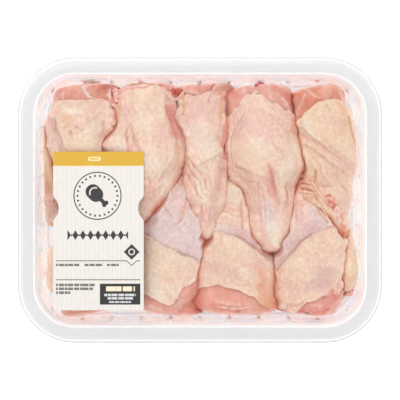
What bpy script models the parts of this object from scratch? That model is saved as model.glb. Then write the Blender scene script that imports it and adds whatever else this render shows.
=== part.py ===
"""Supermarket tray pack of raw chicken drumettes.

A clear thermoformed tray with a flanged rim and ribbed walls holds eleven drumettes. A flat top film is
sealed to the rim, and a die-cut paper label is stuck on the film.

Frame: X runs along the tray, Y across it, +Z up. The origin is the middle of the tray's base.
Lengths are metres, and MM turns a size in millimetres into metres.
"""

import math

import bmesh
import bpy
import numpy as np

MM = 0.001

# Clearance that two separate pieces keep where they touch
TOUCH_GAP = 0.3 * MM

# Tray: a common 227 x 178 mm retail size
TRAY_LENGTH = 227.0 * MM
TRAY_WIDTH = 178.0 * MM
TRAY_HEIGHT = 45.0 * MM
TRAY_CORNER_RADIUS = 36.0 * MM
WALL = 0.8 * MM
CORNER_STEPS = 7

# Rim: a lowered lip outside, then a raised flat band that the film is sealed to
LIP_DROP = 3.2 * MM
LIP_WIDTH = 3.2 * MM
LIP_STEP = 0.6 * MM
BEVEL = 0.6 * MM
FLANGE_WIDTH = 9.8 * MM
THROAT_INSET = 11.2 * MM
THROAT_DEPTH = 4.0 * MM

# Wall and base
BASE_INSET = 16.5 * MM
BASE_RADIUS = 3.2 * MM

# Ribs pressed into the walls, and a wider stacking lug near each corner
RIB_PITCH_LONG = 18.6 * MM
RIBS_LONG = 7
RIB_PITCH_SHORT = 15.5 * MM
RIBS_SHORT = 5
RIB_WIDTH = 5.0 * MM
RIB_HEIGHT = 1.3 * MM
LUG_OFFSET = 46.0 * MM
LUG_WIDTH = 11.0 * MM

# Top film and label
FILM_THICKNESS = 0.3 * MM
FILM_INSET = LIP_WIDTH + BEVEL
LABEL_LENGTH = 98.4 * MM
LABEL_WIDTH = 56.2 * MM
LABEL_CENTRE = (-63.0 * MM, -19.2 * MM)
LABEL_THICKNESS = 0.3 * MM
LABEL_CORNER = 0.8 * MM
NOTCH_CENTRE_Y = 14.1 * MM
NOTCH_HALF_MOUTH = 7.4 * MM
NOTCH_DEPTH = 3.5 * MM

FLOOR_TOP = WALL
FILM_BOTTOM = TRAY_HEIGHT + TOUCH_GAP
LABEL_BOTTOM = FILM_BOTTOM + FILM_THICKNESS + TOUCH_GAP

# Drumettes: each row gives the spine's three guide points, from the cut shoulder end to the elbow end, then
# the half widths at five stations along it, then how far the skin's edge stands back from the shoulder end,
# as a share of the length, at seven places from left to right over the top, and last underneath. Sizes are in
# millimetres.
WIDTH_STATIONS = (0.08, 0.28, 0.50, 0.74, 0.92)
SKIN_STATIONS = (-1, -2 / 3, -1 / 3, 0, 1 / 3, 2 / 3, 1)
DRUMETTES = {
    "drumette_top_1": {
        "spine": ((-73, 72, 21), (-71, 36, 25), (-78, -6, 31)),
        "widths": (23, 23, 20, 14, 10),
        "skin": (0.22, 0.155, 0.165, 0.165, 0.15, 0.155, 0.17, 0.12),
    },
    "drumette_top_2": {
        "spine": ((-36, 72.5, 21), (-30, 32, 24), (-42, -14, 31)),
        "widths": (20, 21, 25, 17, 9),
        "skin": (0.10, 0.08, 0.055, 0.05, 0.03, 0.10, 0.33, 0.12),
    },
    "drumette_top_3": {
        "spine": ((-2, 72.5, 20), (3.5, 30, 23), (4.5, -24, 32)),
        "widths": (19, 16.5, 13.5, 10.5, 5.5),
        "skin": (0.08, 0.02, 0.08, 0.102, 0.08, 0.02, 0.02, 0.12),
    },
    "drumette_top_4": {
        "spine": ((36, 72.5, 21), (41, 28, 24), (45, -33, 31)),
        "widths": (20, 21, 22.5, 13, 10),
        "skin": (0.22, 0.155, 0.075, 0.085, 0.16, 0.215, 0.25, 0.12),
    },
    "drumette_top_5": {
        "spine": ((73, 72, 21), (82, 25, 22), (89, -22, 27)),
        "widths": (20, 20, 18.5, 11, 5.5),
        "skin": (0.22, 0.21, 0.155, 0.118, 0.118, 0.14, 0.20, 0.12),
    },
    "drumette_bottom_1": {
        "spine": ((-70, -72, 21), (-76, -42, 22), (-72, 10, 14)),
        "widths": (23, 26, 23, 15, 9),
        "skin": (0.30, 0.12, 0.07, 0.06, 0.06, 0.06, 0.08, 0.12),
    },
    "drumette_bottom_2": {
        "spine": ((-20, -72.5, 21), (-15, -20, 22), (-13, 23, 17)),
        "widths": (22, 24, 23, 17, 9),
        "skin": (0.15, 0.125, 0.09, 0.065, 0.19, 0.245, 0.34, 0.12),
    },
    "drumette_bottom_3": {
        "spine": ((21, -72.5, 21), (24, -20, 21), (18, 24, 18)),
        "widths": (25, 25, 19, 13, 9),
        "skin": (0.10, 0.17, 0.18, 0.16, 0.125, 0.065, 0.03, 0.12),
    },
    "drumette_bottom_4": {
        "spine": ((67, -72.5, 21), (71, -30, 21), (65, 15, 19)),
        "widths": (22, 25, 23, 15, 8),
        "skin": (0.02, 0.02, 0.02, 0.10, 0.148, 0.175, 0.22, 0.12),
    },
    "drumette_right": {
        "spine": ((91, -60, 17), (95, -40, 20), (90, -16, 14)),
        "widths": (10, 12, 11, 7, 4.5),
        "skin": (0.10, 0.10, 0.10, 0.10, 0.12, 0.14, 0.17, 0.12),
    },
    "drumette_left": {
        "spine": ((-92, 47, 15), (-93, 18, 18), (-92, -17, 18)),
        "widths": (11, 12, 11, 9, 7),
        "skin": (0.10, 0.10, 0.10, 0.10, 0.10, 0.10, 0.10, 0.12),
    },
}

# The section's shape: its height as a share of its width, and how square it and the shoulder end are
HEIGHT_SHARE = 0.97
GREATEST_HALF_HEIGHT = 20.0 * MM
SECTION_SQUARENESS = 2.4
BUTT_SQUARENESS = 3.6

# Shares of the length that the rounded ends take, and where on the spine its outermost points are
BUTT_CAP = 0.13
TIP_CAP = 0.13
END_POINTS = (0.0, 1.0)
SMALLEST_HALF_SIZE = 0.05 * MM

# The meat at the shoulder end is this much slimmer than the skin, and the step takes this share of the length
SKIN_STEP = 1.2 * MM
SKIN_EDGE_BAND = 0.012

# How finely a drumette is drawn, and how many ovals in a row tell its depth where two press together
AROUND = 18
MEAT_RINGS = 5
SKIN_RINGS = 14
DEPTH_OVALS = 34
PRESS_GAP = 1.0 * MM
HALVINGS = 14


def add_object(name, mesh_data, material):
    """Puts a finished bmesh in the scene as one named object."""
    mesh = bpy.data.meshes.new(name)
    mesh_data.to_mesh(mesh)
    mesh_data.free()
    mesh.materials.append(material)
    obj = bpy.data.objects.new(name, mesh)
    bpy.context.scene.collection.objects.link(obj)
    return obj


def plain_material(name, colour, roughness, alpha=1.0):
    """A Principled material with one colour."""
    material = bpy.data.materials.new(name)
    material.use_nodes = True
    shader = material.node_tree.nodes["Principled BSDF"]
    shader.inputs["Base Color"].default_value = (*colour, 1.0)
    shader.inputs["Roughness"].default_value = roughness
    shader.inputs["Alpha"].default_value = alpha
    return material


# Tray


def rib_stations(count, pitch, half_run):
    """(place along a straight wall, share of the rib height there), from end to end."""
    stations = [(-half_run, 0.0)]
    bumps = [((i - (count - 1) / 2) * pitch, RIB_WIDTH) for i in range(count)]
    if LUG_OFFSET < half_run and bumps[-1][0] + RIB_PITCH_SHORT / 2 < LUG_OFFSET:
        bumps = [(-LUG_OFFSET, LUG_WIDTH), *bumps, (LUG_OFFSET, LUG_WIDTH)]
    for centre, width in bumps:
        stations.append((centre - width / 2, 0.0))
        stations.append((centre - width / 2 + RIB_WIDTH / 4, 1.0))
        stations.append((centre + width / 2 - RIB_WIDTH / 4, 1.0))
        stations.append((centre + width / 2, 0.0))
    stations.append((half_run, 0.0))
    return stations


def tray_loop(inset, rib_height):
    """Plan points of the tray's outline moved inwards by inset, with the ribs standing in by rib_height."""
    half_x = TRAY_LENGTH / 2 - inset
    half_y = TRAY_WIDTH / 2 - inset
    run_x = TRAY_LENGTH / 2 - TRAY_CORNER_RADIUS
    run_y = TRAY_WIDTH / 2 - TRAY_CORNER_RADIUS
    radius = TRAY_CORNER_RADIUS - inset
    long_side = rib_stations(RIBS_LONG, RIB_PITCH_LONG, run_x)
    short_side = rib_stations(RIBS_SHORT, RIB_PITCH_SHORT, run_y)
    points = []
    for quarter in range(4):
        turned = quarter % 2
        side = short_side if turned else long_side
        reach = half_x if turned else half_y
        for place, share in side:
            across = reach - share * rib_height
            local = (place, -across)
            points.append(turn_quarters(local, quarter))
        corner = (run_y, -run_x) if turned else (run_x, -run_y)
        for step in range(1, CORNER_STEPS):
            angle = math.radians(-90 + 90 * step / CORNER_STEPS)
            local = (corner[0] + radius * math.cos(angle), corner[1] + radius * math.sin(angle))
            points.append(turn_quarters(local, quarter))
    return points


def turn_quarters(point, quarters):
    """A plan point turned by that many right angles."""
    x, y = point
    for _ in range(quarters):
        x, y = -y, x
    return x, y


def tray_profile():
    """(inset, height, rib share) of each loop, over the upper side from lip to floor, then back underneath."""
    top = TRAY_HEIGHT
    upper = [
        (0.0, top - LIP_DROP, 0),
        (0.0, top - LIP_STEP - BEVEL, 0),
        (BEVEL, top - LIP_STEP, 0),
        (LIP_WIDTH, top - LIP_STEP, 0),
        (LIP_WIDTH + BEVEL, top, 0),
        (FLANGE_WIDTH, top, 0),
        (THROAT_INSET, top - THROAT_DEPTH / 2, 0),
        (THROAT_INSET + BEVEL, top - THROAT_DEPTH, 0),
        (THROAT_INSET + BEVEL, top - THROAT_DEPTH - 2 * BEVEL, 1),
        (BASE_INSET, BASE_RADIUS + WALL, 1),
        (BASE_INSET + BASE_RADIUS / 3, WALL + BASE_RADIUS / 3, 0),
        (BASE_INSET + BASE_RADIUS, WALL, 0),
    ]
    lower = [
        (BASE_INSET + BASE_RADIUS, 0.0, 0),
        (BASE_INSET + BASE_RADIUS / 3 - WALL, BASE_RADIUS / 3, 0),
        (BASE_INSET - WALL, BASE_RADIUS + WALL, 1),
        (THROAT_INSET + BEVEL - WALL, top - THROAT_DEPTH - 2 * BEVEL, 1),
        (THROAT_INSET + BEVEL - WALL, top - THROAT_DEPTH, 0),
        (THROAT_INSET - WALL, top - THROAT_DEPTH / 2 - WALL / 2, 0),
        (FLANGE_WIDTH - WALL / 2, top - WALL, 0),
        (LIP_WIDTH + BEVEL + WALL / 2, top - WALL, 0),
        (LIP_WIDTH + WALL / 2, top - LIP_STEP - WALL, 0),
        (WALL + BEVEL / 2, top - LIP_STEP - WALL, 0),
        (WALL, top - LIP_DROP, 0),
    ]
    return upper + lower


def build_tray():
    """The tray as one closed shell, made of bridged loops and capped at the floor and under it."""
    shell = bmesh.new()
    loops = []
    profile = tray_profile()
    for inset, height, rib_share in profile:
        plan = tray_loop(inset, RIB_HEIGHT * rib_share)
        loops.append([shell.verts.new((x, y, height)) for x, y in plan])
    floor_upper = next(i for i, level in enumerate(profile) if level[1] == WALL and level[0] > BASE_INSET)
    for i, loop in enumerate(loops):
        if i == floor_upper:
            continue
        following = loops[(i + 1) % len(loops)]
        for j, vert in enumerate(loop):
            k = (j + 1) % len(loop)
            shell.faces.new((vert, loop[k], following[k], following[j]))
    shell.faces.new(loops[floor_upper])
    shell.faces.new(reversed(loops[floor_upper + 1]))
    bmesh.ops.recalc_face_normals(shell, faces=shell.faces)
    bmesh.ops.dissolve_limit(
        shell, angle_limit=math.radians(0.5), verts=shell.verts, edges=shell.edges
    )
    return add_object("tray", shell, plain_material("clear tray plastic", (0.92, 0.93, 0.93), 0.12, 0.35))


# Film and label


def build_plate(name, outline, bottom, thickness, material):
    """A flat plate with the given plan outline."""
    plate = bmesh.new()
    face = plate.faces.new([plate.verts.new((x, y, bottom)) for x, y in outline])
    raised = bmesh.ops.extrude_face_region(plate, geom=[face])
    verts = [item for item in raised["geom"] if isinstance(item, bmesh.types.BMVert)]
    bmesh.ops.translate(plate, vec=(0, 0, thickness), verts=verts)
    bmesh.ops.recalc_face_normals(plate, faces=plate.faces)
    return add_object(name, plate, material)


def film_outline():
    """The film's rounded rectangle, trimmed just inside the rim's lip."""
    half_x = TRAY_LENGTH / 2 - FILM_INSET
    half_y = TRAY_WIDTH / 2 - FILM_INSET
    radius = TRAY_CORNER_RADIUS - FILM_INSET
    points = []
    for quarter, (sx, sy) in enumerate(((1, -1), (1, 1), (-1, 1), (-1, -1))):
        for step in range(CORNER_STEPS + 1):
            angle = math.radians(-90 + 90 * (quarter + step / CORNER_STEPS))
            x = sx * (half_x - radius) + radius * math.cos(angle)
            y = sy * (half_y - radius) + radius * math.sin(angle)
            points.append((x, y))
    return points


def label_outline():
    """The label's outline: an upright rectangle with a flared notch in each long side."""
    half_w = LABEL_WIDTH / 2
    half_l = LABEL_LENGTH / 2
    notch = [
        (0.0, -NOTCH_HALF_MOUTH),
        (0.74 * NOTCH_DEPTH, -0.40 * NOTCH_HALF_MOUTH),
        (0.94 * NOTCH_DEPTH, -0.20 * NOTCH_HALF_MOUTH),
        (NOTCH_DEPTH, 0.0),
        (0.94 * NOTCH_DEPTH, 0.20 * NOTCH_HALF_MOUTH),
        (0.74 * NOTCH_DEPTH, 0.40 * NOTCH_HALF_MOUTH),
        (0.0, NOTCH_HALF_MOUTH),
    ]
    right = [(half_w, -half_l)]
    right += [(half_w - inward, NOTCH_CENTRE_Y + up) for inward, up in notch]
    right += [(half_w, half_l - LABEL_CORNER), (half_w - LABEL_CORNER, half_l)]
    left = [(-x, y) for x, y in reversed(right)]
    cx, cy = LABEL_CENTRE
    return [(cx + x, cy + y) for x, y in right + left]


# Drumettes


def smooth_between(place, stations, values):
    """Values eased between stations, so that a width swells and narrows without corners."""
    i = np.clip(np.searchsorted(stations, place) - 1, 0, len(stations) - 2)
    lo, hi = np.asarray(stations)[i], np.asarray(stations)[i + 1]
    share = np.clip((place - lo) / (hi - lo), 0, 1)
    share = share * share * (3 - 2 * share)
    values = np.asarray(values, float)
    return values[i] * (1 - share) + values[i + 1] * share


class Drumette:
    """One drumette as a bent spine with a changing oval section."""

    def __init__(self, spine, widths, skin):
        self.guides = np.array(spine, float) * MM
        self.widths = np.array(widths, float) * MM
        self.skin = skin
        places = np.linspace(0, 1, DEPTH_OVALS + 2)[1:-1]
        centre, along, side, up = self.frame(places)
        half_width, half_height = self.half_sizes(places)
        length = np.linalg.norm(self.guides[2] - self.guides[0])
        to_end = np.minimum(places, 1 - places) * length
        half_along = np.minimum(half_width, to_end)
        self.oval_centres = centre
        self.oval_axes = np.stack(
            [along / half_along[:, None], side / half_width[:, None], up / half_height[:, None]], axis=1
        )
        self.oval_radii = np.minimum(np.minimum(half_width, half_height), half_along)

    def frame(self, t):
        """Spine point, direction, right-hand side and up at each t from 0, the shoulder, to 1, the elbow."""
        a, b, c = self.guides
        t = t[:, None]
        centre = (1 - t) ** 2 * a + 2 * t * (1 - t) * b + t**2 * c
        along = 2 * (1 - t) * (b - a) + 2 * t * (c - b)
        along /= np.linalg.norm(along, axis=1, keepdims=True)
        side = np.cross(along, (0.0, 0.0, 1.0))
        side *= np.sign(side[:, :1])
        side /= np.linalg.norm(side, axis=1, keepdims=True)
        up = np.cross(along, side)
        up *= np.sign(up[:, 2:])
        return centre, along, side, up

    def half_sizes(self, t):
        """Half width and half height of the section at t, rounded off at both ends."""
        width = smooth_between(t, WIDTH_STATIONS, self.widths)
        butt = np.clip(1 - t / BUTT_CAP, 0, 1)
        tip = np.clip(1 - (1 - t) / TIP_CAP, 0, 1)
        cap = (1 - butt**BUTT_SQUARENESS) ** (1 / BUTT_SQUARENESS) * np.sqrt(1 - tip**2)
        height = np.minimum(width * HEIGHT_SHARE, GREATEST_HALF_HEIGHT)
        return np.maximum(width * cap, SMALLEST_HALF_SIZE), np.maximum(height * cap, SMALLEST_HALF_SIZE)

    def depth(self, points):
        """How deep each point is inside the drumette, negative outside, read from its row of ovals."""
        best = np.full(len(points), -1.0)
        for centre, axes, radius in zip(self.oval_centres, self.oval_axes, self.oval_radii):
            reach = np.linalg.norm((points - centre) @ axes.T, axis=1)
            best = np.maximum(best, (1 - reach) * radius)
        return best

    def skin_edge(self, angle):
        """Share of the length at which the skin begins, going round the section."""
        over_top = smooth_between(np.cos(angle), SKIN_STATIONS, self.skin[:-1])
        downwards = np.clip(-np.sin(angle), 0, 1)
        return over_top + (self.skin[-1] - over_top) * downwards

    def rings(self):
        """(t, angle, change of half size) of each ring, first over the meat, then over the skin."""
        angle = np.arange(AROUND) * 2 * math.pi / AROUND
        edge = self.skin_edge(angle)
        rings = []
        for ring in range(1, MEAT_RINGS + 1):
            share = 1 - math.cos(math.pi / 2 * ring / MEAT_RINGS)
            rings.append((edge * share, angle, -SKIN_STEP))
        start = edge + SKIN_EDGE_BAND
        for ring in range(SKIN_RINGS):
            share = (1 - math.cos(math.pi * ring / SKIN_RINGS)) / 2
            rings.append((start + (1 - start) * share, angle, 0.0))
        return rings


def cavity_clearance(points):
    """Distance of each point from the tray's inner walls, floor and film, negative outside."""
    x, y, z = points.T
    wall_foot = FLOOR_TOP + BASE_RADIUS
    wall_head = TRAY_HEIGHT - THROAT_DEPTH - 2 * BEVEL
    share = np.clip((z - wall_foot) / (wall_head - wall_foot), 0, 1)
    inset = BASE_INSET + (THROAT_INSET + BEVEL - BASE_INSET) * share + RIB_HEIGHT
    foot = np.clip(1 - (z - FLOOR_TOP) / BASE_RADIUS, 0, 1)
    inset = inset + BASE_RADIUS * foot
    radius = TRAY_CORNER_RADIUS - inset
    from_x = np.abs(x) - (TRAY_LENGTH / 2 - TRAY_CORNER_RADIUS)
    from_y = np.abs(y) - (TRAY_WIDTH / 2 - TRAY_CORNER_RADIUS)
    outward = np.hypot(np.maximum(from_x, 0), np.maximum(from_y, 0))
    outward += np.minimum(np.maximum(from_x, from_y), 0)
    return np.minimum(radius - outward, np.minimum(z - FLOOR_TOP, FILM_BOTTOM - z))


def pressed_points(piece, others, centre, reach):
    """The points centre + reach, drawn in where the tray or another drumette is in the way."""

    def room(share):
        points = centre + reach * share[:, None]
        clear = cavity_clearance(points) - TOUCH_GAP
        own = piece.depth(points)
        for other in others:
            clear = np.minimum(clear, own - other.depth(points) - PRESS_GAP)
        return clear

    low = np.zeros(len(centre))
    high = np.ones(len(centre))
    blocked = room(high) < 0
    for _ in range(HALVINGS):
        middle = (low + high) / 2
        inside = room(middle) >= 0
        low = np.where(inside, middle, low)
        high = np.where(inside, high, middle)
    return centre + reach * np.where(blocked, low, 1.0)[:, None]


def build_drumette(name, piece, others, material):
    """A drumette's closed skin, made of rings along its spine and closed at both ends."""
    centres, reaches = [], []
    for t, angle, step in piece.rings():
        centre, _, side, up = piece.frame(t)
        half_width, half_height = piece.half_sizes(t)
        turn_side = np.sign(np.cos(angle)) * np.abs(np.cos(angle)) ** (2 / SECTION_SQUARENESS)
        turn_up = np.sign(np.sin(angle)) * np.abs(np.sin(angle)) ** (2 / SECTION_SQUARENESS)
        across = np.maximum(half_width + step, half_width / 2)
        above = np.maximum(half_height + step, half_height / 2)
        centres.append(centre)
        reaches.append(side * (across * turn_side)[:, None] + up * (above * turn_up)[:, None])
    centre = np.concatenate(centres)
    ends = pressed_points(piece, others, centre, np.concatenate(reaches))
    ends = ends.reshape(-1, AROUND, 3)
    poles = piece.frame(np.array(END_POINTS))[0]

    body = bmesh.new()
    rings = [[body.verts.new(point) for point in ring] for ring in ends]
    first = body.verts.new(poles[0])
    last = body.verts.new(poles[1])
    for near, far in zip(rings, rings[1:]):
        for j in range(AROUND):
            k = (j + 1) % AROUND
            body.faces.new((near[j], near[k], far[k], far[j]))
    for j in range(AROUND):
        k = (j + 1) % AROUND
        body.faces.new((first, rings[0][k], rings[0][j]))
        body.faces.new((last, rings[-1][j], rings[-1][k]))
    bmesh.ops.recalc_face_normals(body, faces=body.faces)
    obj = add_object(name, body, material)
    obj.data.shade_smooth()
    return obj


def main():
    for obj in list(bpy.data.objects):
        bpy.data.objects.remove(obj, do_unlink=True)
    build_tray()
    film = plain_material("clear film", (0.95, 0.95, 0.95), 0.08, 0.15)
    build_plate("lid_film", film_outline(), FILM_BOTTOM, FILM_THICKNESS, film)
    paper = plain_material("label paper", (0.90, 0.87, 0.82), 0.55)
    build_plate("label", label_outline(), LABEL_BOTTOM, LABEL_THICKNESS, paper)
    flesh = plain_material("chicken skin", (0.86, 0.62, 0.50), 0.35)
    pieces = {name: Drumette(**sizes) for name, sizes in DRUMETTES.items()}
    for name, piece in pieces.items():
        others = [other for key, other in pieces.items() if key != name]
        build_drumette(name, piece, others, flesh)


main()
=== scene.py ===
import functools
import math

import bpy
import numpy as np
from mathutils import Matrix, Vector, noise


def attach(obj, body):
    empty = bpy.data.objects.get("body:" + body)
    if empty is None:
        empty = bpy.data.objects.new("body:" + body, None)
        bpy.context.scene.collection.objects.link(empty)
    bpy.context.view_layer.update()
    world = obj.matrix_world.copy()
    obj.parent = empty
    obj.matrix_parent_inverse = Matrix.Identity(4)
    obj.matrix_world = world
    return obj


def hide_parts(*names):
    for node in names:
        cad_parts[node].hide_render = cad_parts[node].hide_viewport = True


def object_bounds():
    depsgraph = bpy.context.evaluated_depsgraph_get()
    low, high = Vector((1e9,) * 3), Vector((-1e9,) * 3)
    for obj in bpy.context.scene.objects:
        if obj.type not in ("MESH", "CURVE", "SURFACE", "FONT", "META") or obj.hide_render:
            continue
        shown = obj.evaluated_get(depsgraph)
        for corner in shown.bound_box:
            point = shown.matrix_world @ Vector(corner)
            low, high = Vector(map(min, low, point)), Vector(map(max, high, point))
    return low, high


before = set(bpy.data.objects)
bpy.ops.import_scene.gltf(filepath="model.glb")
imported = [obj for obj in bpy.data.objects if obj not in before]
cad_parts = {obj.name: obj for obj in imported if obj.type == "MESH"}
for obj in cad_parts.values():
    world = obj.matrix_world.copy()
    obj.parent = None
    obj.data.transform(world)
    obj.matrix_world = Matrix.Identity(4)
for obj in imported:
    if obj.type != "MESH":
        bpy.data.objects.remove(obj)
cad_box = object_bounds()
MM = 0.001


# The table and the light. The pack lies on a white paper sheet under soft light from all round. One broad
# lamp stands beyond the far long side and gives the skin its gentle shading.

TABLE_SIZE = 4.0
TABLE_BELOW = 0.4 * MM
SKY_STRENGTH = 0.93
LAMP_PLACE = (-0.2, 0.75, 1.6)
LAMP_SIZE = (1.2, 0.8)
LAMP_POWER = 8.0
CAMERA_HEIGHT = 1.25
FRAME_WIDTH = 248.1 * MM
SENSOR_WIDTH = 36.0


def start_alone():
    """Leaves edit mode and deselects everything, so that the next operator works on new things only."""
    if bpy.context.object and bpy.context.object.mode != "OBJECT":
        bpy.ops.object.mode_set(mode="OBJECT")
    bpy.ops.object.select_all(action="DESELECT")


class Wire:
    """A socket of a material, so that its maths reads as sums. The first wire of a material has no socket."""

    def __init__(self, tree, socket=None):
        self.tree = tree
        self.socket = socket

    def node(self, kind, settings=None, inputs=None, output=0):
        """Adds a node with its settings, then its inputs as values or wires, and gives one output."""
        node = self.tree.nodes.new(kind)
        for name, value in (settings or {}).items():
            setattr(node, name, value)
        for key, value in (inputs or {}).items():
            if isinstance(value, Wire):
                self.tree.links.new(value.socket, node.inputs[key])
            else:
                node.inputs[key].default_value = value
        return Wire(self.tree, node.outputs[output])

    def maths(self, operation, first, second=0.0):
        return self.node("ShaderNodeMath", {"operation": operation}, {0: first, 1: second})

    def __add__(self, other):
        return self.maths("ADD", self, other)

    __radd__ = __add__

    def __sub__(self, other):
        return self.maths("SUBTRACT", self, other)

    def __rsub__(self, other):
        return self.maths("SUBTRACT", other, self)

    def __mul__(self, other):
        return self.maths("MULTIPLY", self, other)

    __rmul__ = __mul__

    def __truediv__(self, other):
        return self.maths("DIVIDE", self, other)

    def __abs__(self):
        return self.maths("ABSOLUTE", self)

    def smallest(self, other):
        return self.maths("MINIMUM", self, other)

    def largest(self, other):
        return self.maths("MAXIMUM", self, other)

    def diagonal(self, other):
        """The distance that is so far one way and so far across it."""
        return self.maths("SQRT", self * self + other * other)

    def part(self, axis):
        """One of the three numbers of a vector."""
        return self.node("ShaderNodeSeparateXYZ", {}, {0: self}, axis)

    def eased(self, low, high):
        """0 below low, 1 above high, and a smooth rise between them. low may be the larger one."""
        settings = {"interpolation_type": "SMOOTHSTEP"}
        inputs = {"Value": self, "From Min": low, "From Max": high}
        return self.node("ShaderNodeMapRange", settings, inputs)

    def colours(self, below, above):
        """A colour between two colours, by how large this value is from 0 to 1."""
        settings = {"data_type": "RGBA"}
        return self.node("ShaderNodeMix", settings, {0: self, 6: below, 7: above}, 2)

    def grain(self, scale, detail=2.0, roughness=0.5, vector=None):
        """Soft noise from 0 to 1. It follows the piece's own place unless it is given another vector."""
        inputs = {"Scale": scale, "Detail": detail, "Roughness": roughness, "Vector": vector or self.place()}
        return self.node("ShaderNodeTexNoise", {}, inputs)

    def place(self):
        """Where a point is, in metres."""
        return self.node("ShaderNodeTexCoord", {}, {}, "Object")


def rgb(red, green, blue):
    """A colour from the 0 to 255 numbers of a screen, made linear for a material."""
    linear = [((c / 255 + 0.055) / 1.055) ** 2.4 if c > 10 else c / 255 / 12.92 for c in (red, green, blue)]
    return (*linear, 1.0)


def new_material(name, **principled):
    """A material with its Principled shader set. Gives the material, the shader node and a first wire."""
    material = bpy.data.materials.new(name)
    material.use_nodes = True
    shader = material.node_tree.nodes["Principled BSDF"]
    start = Wire(material.node_tree)
    for key, value in principled.items():
        shader.inputs[key.replace("_", " ")].default_value = value
    return material, shader, start


def plug(wire, shader, name):
    """Joins a wire to one socket of a shader node."""
    wire.tree.links.new(wire.socket, shader.inputs[name])


start_alone()
bpy.ops.mesh.primitive_plane_add(size=TABLE_SIZE, location=(0, 0, -TABLE_BELOW))
table = bpy.context.object
table.name = "table"
bpy.ops.object.transform_apply()
sheet, shader, start = new_material("white_sheet", Roughness=0.8, Emission_Strength=0.85)
paper = start.grain(40.0, 3.0)
plug(paper.colours((0.97, 0.97, 0.97, 1), (1, 1, 1, 1)), shader, "Emission Color")
plug(paper.colours(rgb(250, 250, 250), rgb(252, 252, 252)), shader, "Base Color")
table.data.materials.append(sheet)

world = bpy.data.worlds.new("studio")
world.use_nodes = True
sky = world.node_tree.nodes["Background"]
sky.inputs["Color"].default_value = (1.0, 1.0, 1.0, 1.0)
sky.inputs["Strength"].default_value = SKY_STRENGTH
bpy.context.scene.world = world

bpy.ops.object.light_add(type="AREA", location=LAMP_PLACE)
lamp = bpy.context.object
lamp.name = "broad_lamp"
lamp.data.shape = "RECTANGLE"
lamp.data.size, lamp.data.size_y = LAMP_SIZE
lamp.data.energy = LAMP_POWER
lamp.rotation_euler = (Vector((0, 0, 0)) - lamp.location).to_track_quat("-Z", "Y").to_euler()

bpy.ops.object.camera_add(location=(0, 0, CAMERA_HEIGHT), rotation=(0, 0, 0))
camera = bpy.context.object
camera.data.sensor_width = SENSOR_WIDTH
camera.data.lens = SENSOR_WIDTH * (CAMERA_HEIGHT - cad_box[1][2]) / FRAME_WIDTH
bpy.context.scene.camera = camera
bpy.context.scene.view_settings.view_transform = "Standard"


# The tray. A clear plastic sheet is drawn down over a mould, which leaves a rolled lip, a flat sealing band,
# ribbed walls that lean outwards, and a flat base. The wall is under half a millimetre thick.

TRAY_LENGTH = 227.0 * MM
TRAY_WIDTH = 178.0 * MM
TRAY_CORNER = 36.0 * MM
SHEET = 0.4 * MM
# Distance in from the outside edge, and height, in millimetres, over the inner face from the lip to the base
TRAY_PROFILE = (
    (0.0, 41.8), (0.0, 43.2), (0.12, 43.8), (0.45, 44.2), (0.95, 44.4), (1.5, 44.45), (2.9, 44.45),
    (3.2, 44.5), (3.5, 44.7), (3.8, 44.92), (4.2, 45.0), (9.2, 45.0), (9.75, 44.9), (10.2, 44.6),
    (10.55, 44.1), (10.8, 43.4), (11.1, 42.4), (11.5, 41.5), (11.8, 40.9), (11.95, 40.0), (12.2, 38.0),
    (12.6, 34.8), (13.2, 30.0), (13.8, 25.2), (14.4, 20.4), (15.0, 15.6), (15.6, 10.8), (16.1, 7.0),
    (16.4, 4.6), (16.7, 3.2), (17.2, 2.2), (18.0, 1.4), (19.0, 0.98), (20.2, 0.82), (24.0, 0.8),
)
CORNER_STEPS = 14
RIB_STEPS = 6
RIB_TOP = 39.5 * MM
RIB_FOOT = 3.0 * MM
RIB_HEIGHT = 1.2 * MM
# How far in from the edge the ribs reach, and how far the short walls' outermost ribs stand into the corners
RIB_BAND = 17.5 * MM
INTO_CORNER = 12 * MM
# The long walls' ribs have this pitch, and a painted highlight in the middle of each at this height
RIB_PITCH = 18.6
GLINT_HEIGHT = 24.0


def bump(distance, half_width):
    """1 in the middle, falling smoothly to 0 at half_width."""
    share = min(abs(distance) / half_width, 1.0)
    return 0.5 + 0.5 * math.cos(math.pi * share)


def rounded_plate(name, length, width, corner, cuts_x, cuts_y):
    """A flat plate with round corners, cut across at the given places, left in edit mode and all selected."""
    start_alone()
    bpy.ops.mesh.primitive_plane_add(size=1.0)
    plate = bpy.context.object
    plate.name = name
    bpy.ops.object.mode_set(mode="EDIT")
    bpy.ops.transform.resize(value=(length, width, 1.0))
    bpy.ops.mesh.bevel(affect="VERTICES", offset=corner, segments=CORNER_STEPS, profile=0.5)
    for place in cuts_x:
        cut_across((place, 0, 0), (1, 0, 0))
    for place in cuts_y:
        cut_across((0, place, 0), (0, 1, 0))
    bpy.ops.mesh.select_all(action="SELECT")
    return plate


def cut_across(place, direction):
    """Cuts the whole mesh in edit mode along a plane, and leaves both halves joined."""
    bpy.ops.mesh.select_all(action="SELECT")
    bpy.ops.mesh.bisect(plane_co=place, plane_no=direction)


def give_thickness(piece, thickness, even=False):
    """Makes an open sheet so thick, towards its inner side."""
    wall = piece.modifiers.new("thickness", "SOLIDIFY")
    wall.thickness = thickness
    wall.offset = -1.0
    wall.use_even_offset = even
    bpy.ops.object.modifier_apply(modifier="thickness")


def see_through(start, shader, share):
    """Makes a material clear, all but a share of it that the eye sees as plastic."""
    through = start.node("ShaderNodeBsdfTransparent", {}, {"Color": (0.985, 0.985, 0.986, 1.0)})
    surface = Wire(start.tree, shader.outputs[0])
    mixed = start.node("ShaderNodeMixShader", {}, {0: share, 1: through, 2: surface})
    plug(mixed, start.tree.nodes["Material Output"], "Surface")


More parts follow.
